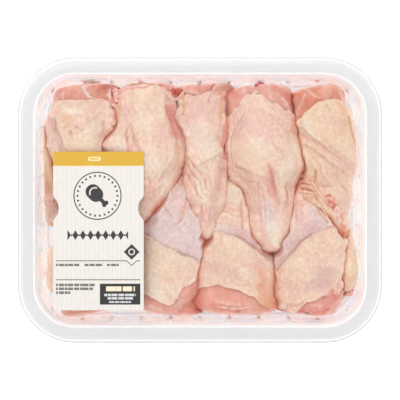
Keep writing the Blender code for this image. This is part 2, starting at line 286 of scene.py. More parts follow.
# Where the middle of each rib is along the long and the short walls, and how wide it is at its foot
ribs_long = [(RIB_PITCH * MM * i, 5.2 * MM) for i in range(-3, 4)]
ribs_short = [(15.5 * MM * i, 5.2 * MM) for i in range(-2, 3)] + [(-46 * MM, 11 * MM), (46 * MM, 11 * MM)]


def rib_cuts(ribs):
    """Where the mesh is cut so that each rib has steps enough to be round."""
    shares = [step / RIB_STEPS - 0.5 for step in range(RIB_STEPS + 1)]
    return [centre + width * share for centre, width in ribs for share in shares]


tray = rounded_plate(
    "tray_shell", TRAY_LENGTH, TRAY_WIDTH, TRAY_CORNER, rib_cuts(ribs_long), rib_cuts(ribs_short)
)
bpy.ops.transform.translate(value=(0, 0, TRAY_PROFILE[0][1] * MM))
for (inset, height), (next_inset, next_height) in zip(TRAY_PROFILE, TRAY_PROFILE[1:]):
    bpy.ops.mesh.inset(thickness=max(next_inset - inset, 0.0) * MM, depth=(next_height - height) * MM)
bpy.ops.object.mode_set(mode="OBJECT")
rib_layer = tray.data.attributes.new("rib", "FLOAT", "POINT")
for vert in tray.data.vertices:
    x, y, z = vert.co
    rise = bump(z - (RIB_TOP + RIB_FOOT) / 2, (RIB_TOP - RIB_FOOT) / 2) ** 0.25
    straight_x, straight_y = TRAY_LENGTH / 2 - TRAY_CORNER, TRAY_WIDTH / 2 - TRAY_CORNER
    beside_long = abs(y) > TRAY_WIDTH / 2 - RIB_BAND and abs(x) < straight_x
    beside_short = abs(x) > TRAY_LENGTH / 2 - RIB_BAND and abs(y) < straight_y + INTO_CORNER
    rib = 0.0
    if beside_long:
        rib = rise * max(bump(x - centre, width / 2) for centre, width in ribs_long)
        vert.co.y -= math.copysign(RIB_HEIGHT * rib, y)
    elif beside_short:
        rib = rise * max(bump(y - centre, width / 2) for centre, width in ribs_short)
        vert.co.x -= math.copysign(RIB_HEIGHT * rib, x)
    rib_layer.data[vert.index].value = rib
give_thickness(tray, SHEET, even=True)
bpy.ops.object.shade_smooth_by_angle(angle=math.radians(40))

clear, shader, start = new_material("clear_tray_plastic", Roughness=0.12, IOR=1.5)
place = start.place()
beyond_x = abs(place.part(0)) - (TRAY_LENGTH / 2 - TRAY_CORNER)
beyond_y = abs(place.part(1)) - (TRAY_WIDTH / 2 - TRAY_CORNER)
outward = beyond_x.largest(0.0).diagonal(beyond_y.largest(0.0)) + beyond_x.largest(beyond_y).smallest(0.0)
inset = (TRAY_CORNER - outward) / MM
height = place.part(2) / MM
rib = start.node("ShaderNodeAttribute", {"attribute_name": "rib"}, {}, "Fac")
edge_on = start.node("ShaderNodeLayerWeight", {}, {"Blend": 0.5}, "Facing")
# The sealing band is a light haze, the lip and the shoulder beside it carry painted highlights as bright
# lines, and the lip is grey and darker at its outer edge. Painted reflections of the pink flesh and bluish
# painted shade cloud the walls in patches
sealed = inset.eased(10.3, 9.9)
lip_highlight = inset.eased(1.5, 1.7) * inset.eased(2.3, 2.0)
shoulder = inset.eased(10.3, 10.6) * inset.eased(12.3, 11.9)
haze = start.grain(60.0, 3.0)
# Painted reflections of the pink flesh and bluish painted shade, which also make the walls a little less
# clear
reflection_shade_blotch = start.grain(115.0, 3.0).eased(0.42, 0.58)
tone = reflection_shade_blotch.colours(rgb(204, 224, 238), rgb(248, 238, 233))
tone = sealed.colours(tone, haze.colours(rgb(217, 217, 218), rgb(222, 222, 223)))
tone = inset.eased(1.9, 1.7).colours(tone, rgb(222, 222, 223))
# Painted highlights: the lip and the shoulder are drawn as white lines
tone = (lip_highlight + shoulder).colours(tone, rgb(254, 254, 254))
tone = inset.eased(0.9, 0.3).colours(tone, rgb(182, 182, 184))
# A painted highlight in the middle of each long wall rib, white and less clear, ringed on the rib by painted
# grey shade
along_long = start.maths("PINGPONG", place.part(0) / MM, RIB_PITCH / 2)
up_wall = height - GLINT_HEIGHT
from_rib_glint = start.maths("SQRT", along_long * along_long + up_wall * up_wall * 0.12)
rib_glint = from_rib_glint.eased(1.5, 0.7) * beyond_y.eased(0.0, 1.0 * MM)
tone = (from_rib_glint.eased(3.6, 1.6) * rib.eased(0.1, 0.5)).colours(tone, rgb(222, 226, 230))
tone = rib_glint.colours(tone, rgb(255, 255, 255))
plug(tone, shader, "Base Color")
foot = height.eased(9.0, 4.0) * inset.eased(26.0, 20.0)
wall_share = edge_on.eased(0.35, 1.0) * 0.42 + height.eased(0.0, 40.0) * 0.08 + rib * 0.05 + 0.08
wall_share = wall_share + rib_glint * 0.5 + foot * 0.27 + reflection_shade_blotch * 0.06 + 0.02
milky = sealed.largest(shoulder) * 0.635
see_through(start, shader, milky.largest(wall_share))
tray.data.materials.append(clear)
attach(tray, "root")
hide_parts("tray")


# The drumettes. Each is the upper joint of a chicken's wing: a bundle of red meat, broad where it was cut
# from the shoulder, in a loose sleeve of pale skin. Laid in by hand, they press flat against each other, the
# walls and the base.

WIDTH_STATIONS = (0.08, 0.28, 0.50, 0.74, 0.92)
SKIN_STATIONS = (-1, -2 / 3, -1 / 3, 0, 1 / 3, 2 / 3, 1)
# Three points of the spine from shoulder to elbow and half widths at the stations, in millimetres, and how
# far the skin's edge stands back at places from left to right over the top and underneath, as shares of the
# length
DRUMETTES = {
    "top_1": (((-73, 72, 21), (-71, 36, 25), (-78, -6, 31)), (23, 23, 20, 14, 10),
              (0.22, 0.155, 0.165, 0.165, 0.15, 0.155, 0.17, 0.12)),
    "top_2": (((-36, 72.5, 21), (-30, 32, 24), (-42, -14, 31)), (20, 21, 25, 17, 9),
              (0.10, 0.08, 0.055, 0.05, 0.03, 0.10, 0.33, 0.12)),
    "top_3": (((-2, 72.5, 20), (3.5, 30, 23), (4.5, -24, 32)), (19, 16.5, 13.5, 10.5, 5.5),
              (0.08, 0.02, 0.08, 0.102, 0.08, 0.02, 0.02, 0.12)),
    "top_4": (((36, 72.5, 21), (41, 28, 24), (45, -33, 31)), (20, 21, 22.5, 13, 10),
              (0.22, 0.155, 0.075, 0.085, 0.16, 0.215, 0.25, 0.12)),
    "top_5": (((73, 72, 21), (82, 25, 22), (89, -22, 27)), (20, 20, 18.5, 11, 5.5),
              (0.22, 0.21, 0.155, 0.118, 0.118, 0.14, 0.20, 0.12)),
    "bottom_1": (((-70, -72, 21), (-76, -42, 22), (-72, 10, 14)), (23, 26, 23, 15, 9),
                 (0.30, 0.12, 0.07, 0.06, 0.06, 0.06, 0.08, 0.12)),
    "bottom_2": (((-20, -72.5, 21), (-15, -20, 22), (-13, 23, 17)), (22, 24, 23, 17, 9),
                 (0.15, 0.125, 0.09, 0.065, 0.19, 0.245, 0.34, 0.12)),
    "bottom_3": (((21, -72.5, 21), (24, -20, 21), (18, 24, 18)), (25, 25, 19, 13, 9),
                 (0.10, 0.17, 0.18, 0.16, 0.125, 0.065, 0.03, 0.12)),
    "bottom_4": (((67, -72.5, 21), (71, -30, 21), (65, 15, 19)), (22, 25, 23, 15, 8),
                 (0.02, 0.02, 0.02, 0.10, 0.148, 0.175, 0.22, 0.12)),
    "right": (((91, -60, 17), (95, -40, 20), (90, -16, 14)), (10, 12, 11, 7, 4.5),
              (0.10, 0.10, 0.10, 0.10, 0.12, 0.14, 0.17, 0.12)),
    "left": (((-92, 47, 15), (-93, 18, 18), (-92, -17, 18)), (11, 12, 11, 9, 7),
             (0.10, 0.10, 0.10, 0.10, 0.10, 0.10, 0.10, 0.12)),
}
# The section is an oval a little squarer than a ring, no higher than there is room for under the film, and
# rounded off over a share of the length at both ends
MOST_HEIGHT = 20.0 * MM
HEIGHT_OF_WIDTH = 0.97
SQUARENESS = 2.4
BUTT_SQUARENESS = 3.6
ROUND_ENDS = 0.13
THINNEST = 0.05 * MM
SPINE_PLACES = 30
SEARCH_MARGIN = 8 * MM
# The skin, the room for it over the meat, and how much shorter than the skin the meat is, as a share
SKIN_THICKNESS = 1.1 * MM
SKIN_ROOM = 1.4 * MM
TUCKED = 0.02
# What stays open between neighbours and along the tray, and how far a piece swells to meet its neighbour
SEAM_GAP = 0.1 * MM
TRAY_GAP = 0.3 * MM
SWELL_TO_MEET = 4.5 * MM
SWELL_REACH = 7.0 * MM
# How far a point may rise or sink, as a share of its distance from the spine
MOST_RAISED = 0.4
MOST_SUNK = 0.45
# How deep a seam's groove is, and from how far away the flesh sinks and takes painted shade towards it
GROOVE = 2.6 * MM
CREASE_REACH = 5.0 * MM
WRINKLE_GAIN = 1.6
STEP_DRIFT = 0.7 * MM
# How many faces go round each ball of meat and sleeve of skin, and how many rings it has
MEAT_GRID = (84, 76)
SKIN_GRID = (150, 136)
fine = 1.0

# How much a place is swollen or sunk: plan point, radius and height, in millimetres
SWELLINGS = {
    "top_1": ((-96, 68, 15, -2), (-52, 54, 7, 3), (-58, 36, 5, -3), (-54, 46.5, 5, 4), (-77, 56, 4, -1)),
    "top_2": ((-57, 33.5, 5, 5.5), (-42, 36, 4, -1.2), (-14, 52, 6, -3), (-48, 60, 4, 2),
              (-50, 46, 3, 1.5)),
    "top_3": ((-15, 66, 4, -2.5), (-10, 30, 5, -1), (8, 44, 8, 1), (-3, -13, 5, -3), (12, -13, 5, -3.5),
              (-5, -4, 5, -2.5), (12, 12, 4, 1.5), (10, -20, 4, -3), (-1, -20, 4, -3)),
    "top_4": ((60, 40, 5, -2), (30, -7, 6, -2.5), (50, 2, 5, 1.5), (17, 33, 5, 2), (36, -30, 6, -4),
              (54, -28, 6, -5), (62, 20, 6, 2), (26, 4, 8, -4)),
    "top_5": ((62, 42, 4, -3), (96, 66, 14, -2), (70, 10, 6, 1.5), (90, 4, 6, 1)),
    "bottom_1": ((-96, -66, 14, -5),),
    "bottom_2": ((-28, -8, 6, 1.0), (-4, -4, 4, -3), (-20, -24, 9, -1.2), (-13, 12, 5, -1.5),
                 (2, -34, 5, 1), (-22, 6, 7, 2)),
    "bottom_3": ((12, 6, 5, -2), (44, -54, 5, -1), (4, -30, 4, -1), (30, -8, 5, -2), (35, -34, 6, -1),
                 (23, 9, 6, 2.5)),
    "right": ((99, -42, 8, 2.5), (98, -57, 6, -3), (97, -26, 6, -1.5)),
    "bottom_4": ((54, -18, 5, -2), (46, -52, 4, -1), (56, -30, 6, -1), (64, 14, 5, 3), (66, -3, 3, 1)),
}
# The kinds of mark on skin and meat: a colour, and how far it stands out in millimetres
MARKS = {
    "yellow": ((243, 219, 186), 0.1), "cream": ((246, 230, 211), 0.15), "ochre": ((205, 152, 92), 0.0),
    "pink": ((240, 192, 184), 0.0), "rose": ((222, 146, 134), -0.1), "purple": ((212, 173, 170), -0.1),
    "blue": ((227, 212, 213), 0.0), "orange": ((234, 178, 146), -0.1), "red": ((208, 84, 68), -0.3),
    # dark is painted shade in narrow gaps between pieces and in small hollows, laid over a real groove
    "dark": ((136, 52, 40), -1.2), "fold": ((219, 160, 137), -1.0), "ridge": ((248, 226, 211), 1.0),
    "hollow": ((210, 104, 86), -3.5), "fat": ((245, 228, 216), 0.5), "muscle": ((222, 142, 124), 0.3),
}
# Where thick skin ends in a low step and thin skin lies beside it: kind, width in millimetres, strength, and
# the line of the step, with the thin skin on its left
STEPS = {
    "top_1": (("purple", 7, 0.7, ((-84, 32), (-88, 42), (-92, 49), (-95, 54))),),
    "top_2": (("purple", 9, 1.0, ((-21.7, 60), (-18, 47), (-14, 35))),),
    "top_3": (("purple", 4, 0.6, ((14, 31), (7, 26), (0.6, 22.6), (-2, 21))),
              ("cream", 2, 0.5, ((-9, 31), (-6, 18), (-1, 2), (3, -6)))),
    "top_4": (("cream", 3, 0.5, ((24, 8), (20, 20), (20, 40), (28, 54))),
              ("pink", 4, 0.6, ((48, -2), (46, 10), (43, 23)))),
    "top_5": (("pink", 7, 0.8, ((94, 23), (86, 26.8), (78.3, 32.5), (69.7, 39.6), (61.7, 46.3))),
              ("orange", 3, 0.5, ((92, 16), (76, 27), (64, 36)))),
    "bottom_2": (("blue", 150, 0.85, ((-40, -18), (-35.3, -21), (-21.6, -29), (-12.5, -33), (-4, -36.6),
                                      (2, -41))),
                 ("purple", 8, 0.45, ((-35.3, -21), (-21.6, -29), (-12.5, -33), (-4, -36.6))),
                 ("pink", 3, 0.3, ((-8, 4), (-10, -4), (-14, -12), (-20, -16)))),
    "bottom_3": (("blue", 9, 0.7, ((5, -21), (13, -19.5), (19.7, -22.4), (27, -24.7), (34, -30), (43, -38))),
                 ("purple", 8, 0.9, ((19.7, -22.4), (27, -24.7), (34, -30), (43, -38)))),
    "bottom_4": (("blue", 22, 0.8, ((47, -46), (55.2, -35.4), (63.7, -26.4), (72.3, -20.2), (81.8, -17),
                                    (86, -17))),
                 ("purple", 9, 0.85, ((47, -46), (55.2, -35.4), (63.7, -26.4), (72.3, -20.2)))),
}
# Where the skin is finely wrinkled: plan point, radius, which way the wrinkles run in degrees, their distance
# apart and their depth in millimetres
WRINKLES = {
    "top_1": ((-78, 44, 8, 30, 4.0, 0.35),),
    "top_2": ((-44, 40, 8, 80, 3.6, 0.5), (-26, 10, 9, 60, 3.4, 0.4)),
    "top_3": ((-2, 19, 7, -38, 4.6, 0.7), (1, 8, 8, -60, 3.4, 0.55), (4, -10, 6, 80, 2.6, 0.35)),
    "top_4": ((47, 8, 9, -72, 4.2, 0.5), (40, -8, 7, 95, 3.6, 0.4), (28, 16, 6, -20, 3.4, 0.5)),
    "top_5": ((76, 33, 8, -30, 4.4, 0.45), (76, 17, 10, -58, 4.2, 0.45), (90, 18, 7, -60, 3.9, 0.3)),
    "bottom_2": ((-16, 10, 8, 50, 3.4, 0.6), (-22, -4, 9, 24, 3.2, 0.5), (-12, -12, 7, 55, 3.4, 0.4)),
    "bottom_3": ((18, -9, 10, -4, 3.3, 0.6), (27, 4, 7, 80, 3.2, 0.35)),
    "bottom_4": ((66, 0, 7, -66, 3.2, 0.35), (76, -9, 7, -50, 3.0, 0.45), (58, -54, 9, 70, 3.4, 0.3)),
}
# Skin tone, meat tone, then the marks: kind, the line's two ends, half width in millimetres, and strength
TONES = {
    "top_1": ((236, 205, 186), (229, 168, 150), (
        ("orange", -84, 50, -83, 48, 3.5, 0.5), ("cream", -83, 56, -76, 54, 2.0, 0.8),
        ("yellow", -76, 36, -72, 33, 6, 0.6), ("purple", -67, 52, -65, 49, 5, 0.3),
        ("rose", -54, 53, -51, 46, 2.5, 0.5), ("dark", -51.4, 45, -51.2, 42, 1.9, 1.0),
        ("orange", -56, 42, -58, 39, 2, 0.7), ("ridge", -60, 58, -54, 56, 2.5, 0.5),
        ("fold", -81, 41.5, -80, 40, 1.0, 0.7), ("pink", -66, 58, -62, 60, 4, 0.5),
        ("fold", -59.5, 49, -59, 34, 0.9, 0.6), ("cream", -70, 40, -64, 44, 4, 0.4),
        ("fold", -80, 46, -73, 43, 0.7, 0.4))),
    "top_2": ((239, 208, 190), (237, 180, 168), (
        ("orange", -50.5, 64, -50, 52, 1.3, 0.6), ("pink", -47, 62, -45, 46, 4, 0.45),
        ("yellow", -42, 63, -30, 64, 4, 0.4), ("cream", -37, 52, -32, 44, 5, 0.3),
        ("cream", -28, 22, -25, 12, 7, 0.7), ("fold", -46, 42, -45, 30, 0.9, 0.8),
        ("fold", -43, 47, -41, 40, 0.8, 0.5), ("fold", -41, 39, -38, 30, 0.9, 0.6),
        ("rose", -45, 38, -44, 32, 1.6, 0.4), ("pink", -40, 33, -37, 28, 3, 0.5),
        ("cream", -53, 37, -49, 33, 3.5, 0.9), ("orange", -14.5, 34, -13.5, 25, 1.6, 0.8),
        ("rose", -18, 56, -14.5, 41, 3.4, 0.75), ("pink", -27, 42, -22, 36, 4, 0.3),
        ("fold", -32, 14, -30, 4, 0.8, 0.4), ("pink", -32, 10, -35, -4, 4, 0.4),
        ("ridge", -24, 66, -23, 50, 1.6, 0.4), ("fold", -26, 12, -20, 20, 0.7, 0.3),
        ("cream", -18, 30, -15, 26, 2.5, 0.5), ("fold", -35, 60, -30, 52, 0.7, 0.3))),
    "top_3": ((238, 206, 192), (236, 178, 162), (
        ("pink", -4, 58, 4, 50, 7, 0.5), ("purple", -6, 50, -2, 44, 3, 0.2),
        ("cream", 1, 42, 3, 30, 7, 0.7), ("cream", -18, 59, -12, 56, 2, 0.6),
        ("purple", 13, 26, 11, 6, 2.4, 0.6), ("purple", 9, 4, 7, -14, 2.6, 0.5),
        ("orange", -10, 65, -10.5, 54, 0.9, 0.9), ("orange", 12.5, 66, 13, 50, 1.0, 0.7),
        ("rose", 15, 46, 14.5, 26, 1.4, 0.8), ("hollow", -17.5, 68, -12.5, 67.5, 2.6, 1.0),
        ("dark", -15, 64.6, -12.4, 63.6, 0.8, 0.8), ("ridge", -22, 67, -18.5, 62.5, 1.4, 0.8),
        ("ridge", -18.5, 62.5, -12, 61.5, 1.2, 0.8), ("pink", -14, 52, -13, 38, 2.5, 0.5),
        ("fold", -9, 28, -3, 20, 0.8, 0.6), ("fold", -8.5, 24, -2, 12, 0.7, 0.6),
        ("fold", -7, 16, -2, 3, 0.7, 0.6), ("cream", -2, 13, 2, 0, 2.6, 0.6),
        ("fold", 1, -3, 2, -12, 0.7, 0.5), ("fold", 12, 36, 10, 40, 0.7, 0.4),
        ("pink", 3, -8, 4, -16, 2, 0.5))),
    "top_4": ((239, 208, 194), (231, 169, 156), (
        ("pink", 27, 50, 40, 44, 6, 0.4), ("purple", 26, 48, 24, 42, 3, 0.3),
        ("yellow", 26, 32, 34, 20, 6, 0.4), ("cream", 58, 33, 54, 16, 5, 0.8),
        ("rose", 42.5, 19, 46.5, 4, 2.2, 0.5), ("fold", 42, 22, 45.2, 14, 0.8, 0.4),
        ("fold", 45.2, 14, 46.6, 8, 0.8, 0.55), ("fold", 46.6, 8, 49, -2.4, 0.8, 0.55),
        ("ridge", 50, 15, 52, 1, 1.4, 0.7), ("fold", 53, 9, 55, -4, 0.8, 0.6),
        ("blue", 41, -4, 44, -18, 4.5, 0.7), ("cream", 46, -16, 47, -26, 4, 0.9),
        ("pink", 38, -18, 42, -29, 2.6, 0.8), ("fold", 36, 12, 37, -10, 0.8, 0.4),
        ("fold", 40, 2, 41, -6, 0.7, 0.4), ("orange", 19, 57, 17.5, 46, 1.0, 0.6),
        ("fold", 22, 21, 32, 17, 1.0, 0.6), ("orange", 57.5, 49, 58, 43, 1.3, 0.9),
        ("red", 42.8, 52.8, 43, 52.5, 0.45, 0.6), ("purple", 30, 4, 32, -8, 1.6, 0.5),
        ("pink", 46, 30, 48, 24, 4, 0.3), ("fold", 44, 36, 52, 28, 0.8, 0.3),
        ("fold", 26, 14, 34, 12, 0.8, 0.5), ("cream", 38, 34, 42, 30, 4, 0.3))),
    "top_5": ((239, 206, 178), (224, 146, 116), (
        ("cream", 64, 52, 66, 47, 5, 0.7), ("yellow", 72, 54, 80, 57, 5, 0.4),
        ("yellow", 74, 44, 84, 36, 6, 0.4), ("yellow", 67, 28, 71, 16, 3.5, 0.6),
        ("ochre", 92.5, 52, 97.5, 34, 0.8, 0.9), ("ochre", 89, 57, 92, 46, 2.5, 0.25),
        ("orange", 59, 37, 66, 20, 1.2, 0.6), ("fold", 63, 42, 74, 34, 0.7, 0.5),
        ("fold", 80, 33, 92, 26, 0.7, 0.4), ("fold", 72, 17, 71, 9, 0.9, 0.8),
        ("fold", 76, 9, 81, 9, 0.7, 0.5), ("fold", 84, 16, 92, 6, 0.7, 0.4),
        ("ridge", 78, 59, 82, 52, 0.9, 0.8), ("pink", 84, 12, 90, 0, 3, 0.4),
        ("rose", 79, 2, 85, -5, 2.2, 0.7), ("orange", 77, 27, 78, 25.5, 0.8, 0.5),
        ("blue", 91, 2, 93, -8, 3, 0.3), ("cream", 86, -10, 88, -15, 2.5, 0.8),
        ("red", 77.5, 0.5, 80.5, -4, 0.7, 0.5))),
    "bottom_1": ((236, 205, 180), (236, 172, 150), (
        ("yellow", -94, -24, -95, -36, 4, 0.8), ("orange", -80, -72, -55, -72, 3, 0.5))),
    "bottom_2": ((238, 207, 194), (235, 176, 158), (
        ("cream", -26, -28, -14, -38, 6, 0.4), ("yellow", -30, -36, -12, -42, 5, 0.4),
        ("cream", -32, -50, -26, -58, 6, 0.6), ("pink", -12, -44, -8, -54, 5, 0.35),
        ("cream", -18, 16, -20, 10, 2.2, 0.5), ("cream", -26, 2, -22, -4, 2, 0.5),
        ("pink", -14, 2, -13, -6, 3, 0.4), ("fold", -8.8, -1, -10.2, -8.7, 0.7, 0.4),
        ("fold", -10.2, -8.7, -12.6, -13, 0.7, 0.4), ("fold", -12.6, -13, -17.3, -17, 0.7, 0.3),
        ("fold", -23, -3, -18, -10, 0.7, 0.5), ("fold", -20, 12, -17, 4, 0.7, 0.4),
        ("dark", -6.6, 0, -4.2, -4.5, 1.1, 0.9), ("red", -30, -7.5, -28, -8, 0.6, 0.6),
        ("red", -26, -5, -26.5, -5, 0.5, 0.5), ("ridge", -29, 0, -24, -5, 1.6, 0.4),
        ("yellow", -20, -44, -18, -47, 3, 0.5), ("cream", -26, -58, -20, -65, 3, 0.5))),
    "bottom_3": ((237, 207, 188), (237, 172, 152), (
        ("orange", 19, 19, 24, 16, 3, 0.3), ("cream", 19, 13, 23, 4, 6, 0.8),
        ("blue", 28, 14, 31, 2, 2.0, 0.8), ("pink", 13, 4, 18, -4, 4, 0.3),
        ("cream", 14, -10, 20, -10, 2.5, 0.5), ("yellow", 12, -27, 18, -38, 6, 0.4),
        ("purple", 8, -42, 22, -47, 3.6, 0.35), ("pink", 30, -38, 38, -46, 5, 0.4),
        ("orange", 37, -48, 41, -64, 5, 0.85), ("cream", 28, -46, 34, -50, 3.5, 0.4),
        ("cream", 35, -57, 36, -59, 2.0, 0.5), ("fold", 26, -2, 27, -18, 0.8, 0.5),
        ("fold", 22, -53, 32, -53, 0.7, 0.3), ("pink", 8, -54, 14, -58, 4, 0.3),
        ("cream", 28, -44.5, 30.5, -46, 0.5, 1.0), ("fold", 30, 6, 29, -4, 0.8, 0.6),
        ("red", 18.5, 2, 18.8, 1.8, 0.4, 0.6))),
    "bottom_4": ((239, 208, 190), (234, 168, 154), (
        ("pink", 60, 4, 62, -14, 2.5, 0.5), ("cream", 64, 4, 74, -3, 1.2, 0.9),
        ("cream", 74, -3, 79, -8, 1.2, 0.9), ("cream", 79, -8, 81.5, -14, 1.2, 0.8),
        ("fold", 65.5, 2, 74, -5.5, 0.8, 0.7), ("fold", 74, -5.5, 80, -14, 0.8, 0.7),
        ("fold", 60.4, 1, 60.8, -12, 0.8, 0.4), ("fold", 63, 0, 64, -11, 0.8, 0.25),
        ("blue", 70, -7, 74, -13, 3, 0.5), ("fold", 63, 14, 70, 12, 0.9, 0.8),
        ("fold", 63.5, 10.5, 71, 8.5, 0.8, 0.8), ("fold", 64, 7, 72, 5, 0.8, 0.8),
        ("red", 63, 13, 64, 10, 0.8, 0.4), ("yellow", 70, -30, 84, -28, 5, 0.35),
        ("yellow", 56, -40, 66, -46, 5, 0.35), ("purple", 75, -49, 80, -47, 5, 0.6),
        ("purple", 66, -55, 72, -52, 3, 0.4), ("orange", 47, -46, 50, -64, 3.5, 0.5),
        ("yellow", 60, -64, 68, -58, 1.4, 0.7), ("cream", 54.6, -37, 54.6, -41, 0.6, 1.0),
        ("cream", 51, -46, 51, -50, 0.5, 0.8), ("fold", 56, -66, 64, -64, 0.9, 0.5),
        ("ochre", 68, -28, 68.4, -28.4, 0.4, 0.5), ("ochre", 72, -33, 72.4, -33.4, 0.4, 0.5),
        ("ochre", 77, -27, 77.4, -27.4, 0.4, 0.5), ("ochre", 67, -37, 67.4, -37.4, 0.4, 0.5),
        ("ochre", 79, -35, 79.4, -35.4, 0.4, 0.4))),
    "right": ((239, 206, 178), (230, 170, 160), (
        ("yellow", 95, -36, 96, -46, 4, 0.7), ("orange", 90, -18, 92, -24, 2, 0.8),
        ("fold", 90, -34, 90, -50, 1, 0.5), ("pink", 90, -22, 91, -30, 2, 0.5))),
    "left": ((236, 198, 172), (228, 168, 150), (
        ("orange", -95, 40, -94, 4, 3, 0.6), ("ochre", -95, 10, -94, 6, 1.6, 0.4),
        ("pink", -90, -2, -90, -12, 4, 0.8), ("yellow", -97, 30, -96, 18, 1.5, 0.4),
        ("fold", -93, 38, -92, 26, 1, 0.5))),
}


def eased_between(place, stations, values):
    """Values eased between stations, so that a width swells and narrows without corners."""
    stations, values = np.asarray(stations), np.asarray(values, float)
    i = np.clip(np.searchsorted(stations, place) - 1, 0, len(stations) - 2)
    share = np.clip((place - stations[i]) / (stations[i + 1] - stations[i]), 0, 1)
    share = share * share * (3 - 2 * share)
    return values[i] * (1 - share) + values[i + 1] * share


class Drumette:
    """One drumette's spine and swelling section, and how deep a point is inside it."""

    def __init__(self, spine, widths, skin, swellings):
        self.guides = np.array(spine, float) * MM
        self.swellings = np.array(swellings, float).reshape(-1, 4) * MM
        self.widths = np.array(widths, float) * MM
        self.skin = skin
        self.length = np.linalg.norm(self.guides[2] - self.guides[0])
        places = np.linspace(0, 1, SPINE_PLACES)[1:-1]
        self.centres, along, side, up = self.spine_at(places)
        across, high = self.half_sizes(places)
        ahead = np.minimum(across, np.minimum(places, 1 - places) * self.length)
        self.axes = np.stack([along / ahead[:, None], side / across[:, None], up / high[:, None]], axis=1)
        self.radii = np.minimum(np.minimum(across, high), ahead)
        self.low = self.centres.min(axis=0) - self.widths.max() - SEARCH_MARGIN
        self.high = self.centres.max(axis=0) + self.widths.max() + SEARCH_MARGIN

    def spine_at(self, t):
        """Point, direction, right-hand side and up at each t from 0, the shoulder, to 1, the elbow."""
        a, b, c = self.guides
        t = t[:, None]
        centre = (1 - t) ** 2 * a + 2 * t * (1 - t) * b + t**2 * c
        along = 2 * (1 - t) * (b - a) + 2 * t * (c - b)
        along /= np.linalg.norm(along, axis=1, keepdims=True)
        side = np.cross(along, (0.0, 0.0, 1.0))
        side *= np.sign(side[:, :1])
        side /= np.linalg.norm(side, axis=1, keepdims=True)
        up = np.cross(along, side)
        up *= np.sign(up[:, 2:])
        return centre, along, side, up

    def half_sizes(self, t):
        """Half width and half height of the section, rounded off at both ends."""
        width = eased_between(t, WIDTH_STATIONS, self.widths)
        butt = np.clip(1 - t / ROUND_ENDS, 0, 1)
        tip = np.clip(1 - (1 - t) / ROUND_ENDS, 0, 1)
        cap = (1 - butt**BUTT_SQUARENESS) ** (1 / BUTT_SQUARENESS) * np.sqrt(1 - tip**2)
        height = np.minimum(width * HEIGHT_OF_WIDTH, MOST_HEIGHT)
        return np.maximum(width * cap, THINNEST), np.maximum(height * cap, THINNEST)

    def depth(self, points):
        """How deep each point is inside, negative outside."""
        best = np.full(len(points), -1.0)
        near = np.flatnonzero(np.all((points > self.low) & (points < self.high), axis=1))
        deepest = best[near]
        close = points[near]
        for centre, axes, radius in zip(self.centres, self.axes, self.radii):
            reach = np.sqrt((((close - centre) @ axes.T) ** 2).sum(axis=1))
            deepest = np.maximum(deepest, (1 - reach) * radius)
        best[near] = deepest + self.swelling(close)
        return best

    def swelling(self, points):
        """How far the surface is swollen at each point, seen from above."""
        total = np.zeros(len(points))
        for x, y, radius, height in self.swellings:
            away = ((points[:, 0] - x) ** 2 + (points[:, 1] - y) ** 2) / radius**2
            total += height * np.exp(-1.4 * away)
        return total

    def skin_edge(self, angle):
        """Share of the length at which the skin begins, going round the section, a little ragged."""
        over_top = eased_between(np.cos(angle), SKIN_STATIONS, self.skin[:-1])
        edge = over_top + (self.skin[-1] - over_top) * np.clip(-np.sin(angle), 0, 1)
        around = np.stack([np.cos(angle), np.sin(angle), np.full(len(angle), self.length * 50)], axis=1)
        ragged = 0.010 * lumps(around, 2.2) + 0.008 * lumps(around, 7.0) + 0.004 * lumps(around, 19.0)
        return np.maximum(edge + ragged, 0.012)


def lumps(points, scale):
    """Soft noise from -1 to 1 at each point."""
    return np.array([noise.noise(Vector(point)) for point in points * scale])


# The room for flesh in the tray, in millimetres: the heights of the base, of the walls' foot and of the film,
# how far the walls rise, how far in they stand at their foot and lean outwards, and the rounding at the base
BASE_TOP = 0.8
WALL_FOOT = 4.0
FILM_UNDER = 45.2
WALL_RISE = 35.8
FOOT_INSET = 17.8
WALL_LEAN = 4.7
BASE_ROUND = 3.2


def room_in_tray(points):
    """Distance from the tray's inner walls, base and film, negative outside."""
    x, y, z = points.T
    share = np.clip((z - WALL_FOOT * MM) / (WALL_RISE * MM), 0, 1)
    rounded = np.clip(1 - (z - BASE_TOP * MM) / (BASE_ROUND * MM), 0, 1)
    inset = (FOOT_INSET - WALL_LEAN * share + BASE_ROUND * rounded) * MM
    from_x = np.abs(x) - (TRAY_LENGTH / 2 - TRAY_CORNER)
    from_y = np.abs(y) - (TRAY_WIDTH / 2 - TRAY_CORNER)
    outward = np.hypot(np.maximum(from_x, 0), np.maximum(from_y, 0))
    outward += np.minimum(np.maximum(from_x, from_y), 0)
    return np.minimum(TRAY_CORNER - inset - outward, np.minimum(z - BASE_TOP * MM, FILM_UNDER * MM - z))


# Above this height in millimetres the piece on top laps over the other by a part of the rise, and below it
# the lower one does
SEAM_LEVEL = 24.0
SEAM_LEAN = 0.25
HALVINGS = 10


def over_seam(points):
    """How far the piece on top laps over the one below, which grows towards the film and wanders."""
    x, y, z = points.T / MM
    wander = 0.8 * np.sin(0.31 * y + 1.3 * np.sin(0.17 * x) + 0.1 * z)
    wander += 0.4 * np.sin(0.83 * y - 0.61 * x + 2.0)
    return (SEAM_LEAN * (z - SEAM_LEVEL) + wander) * MM


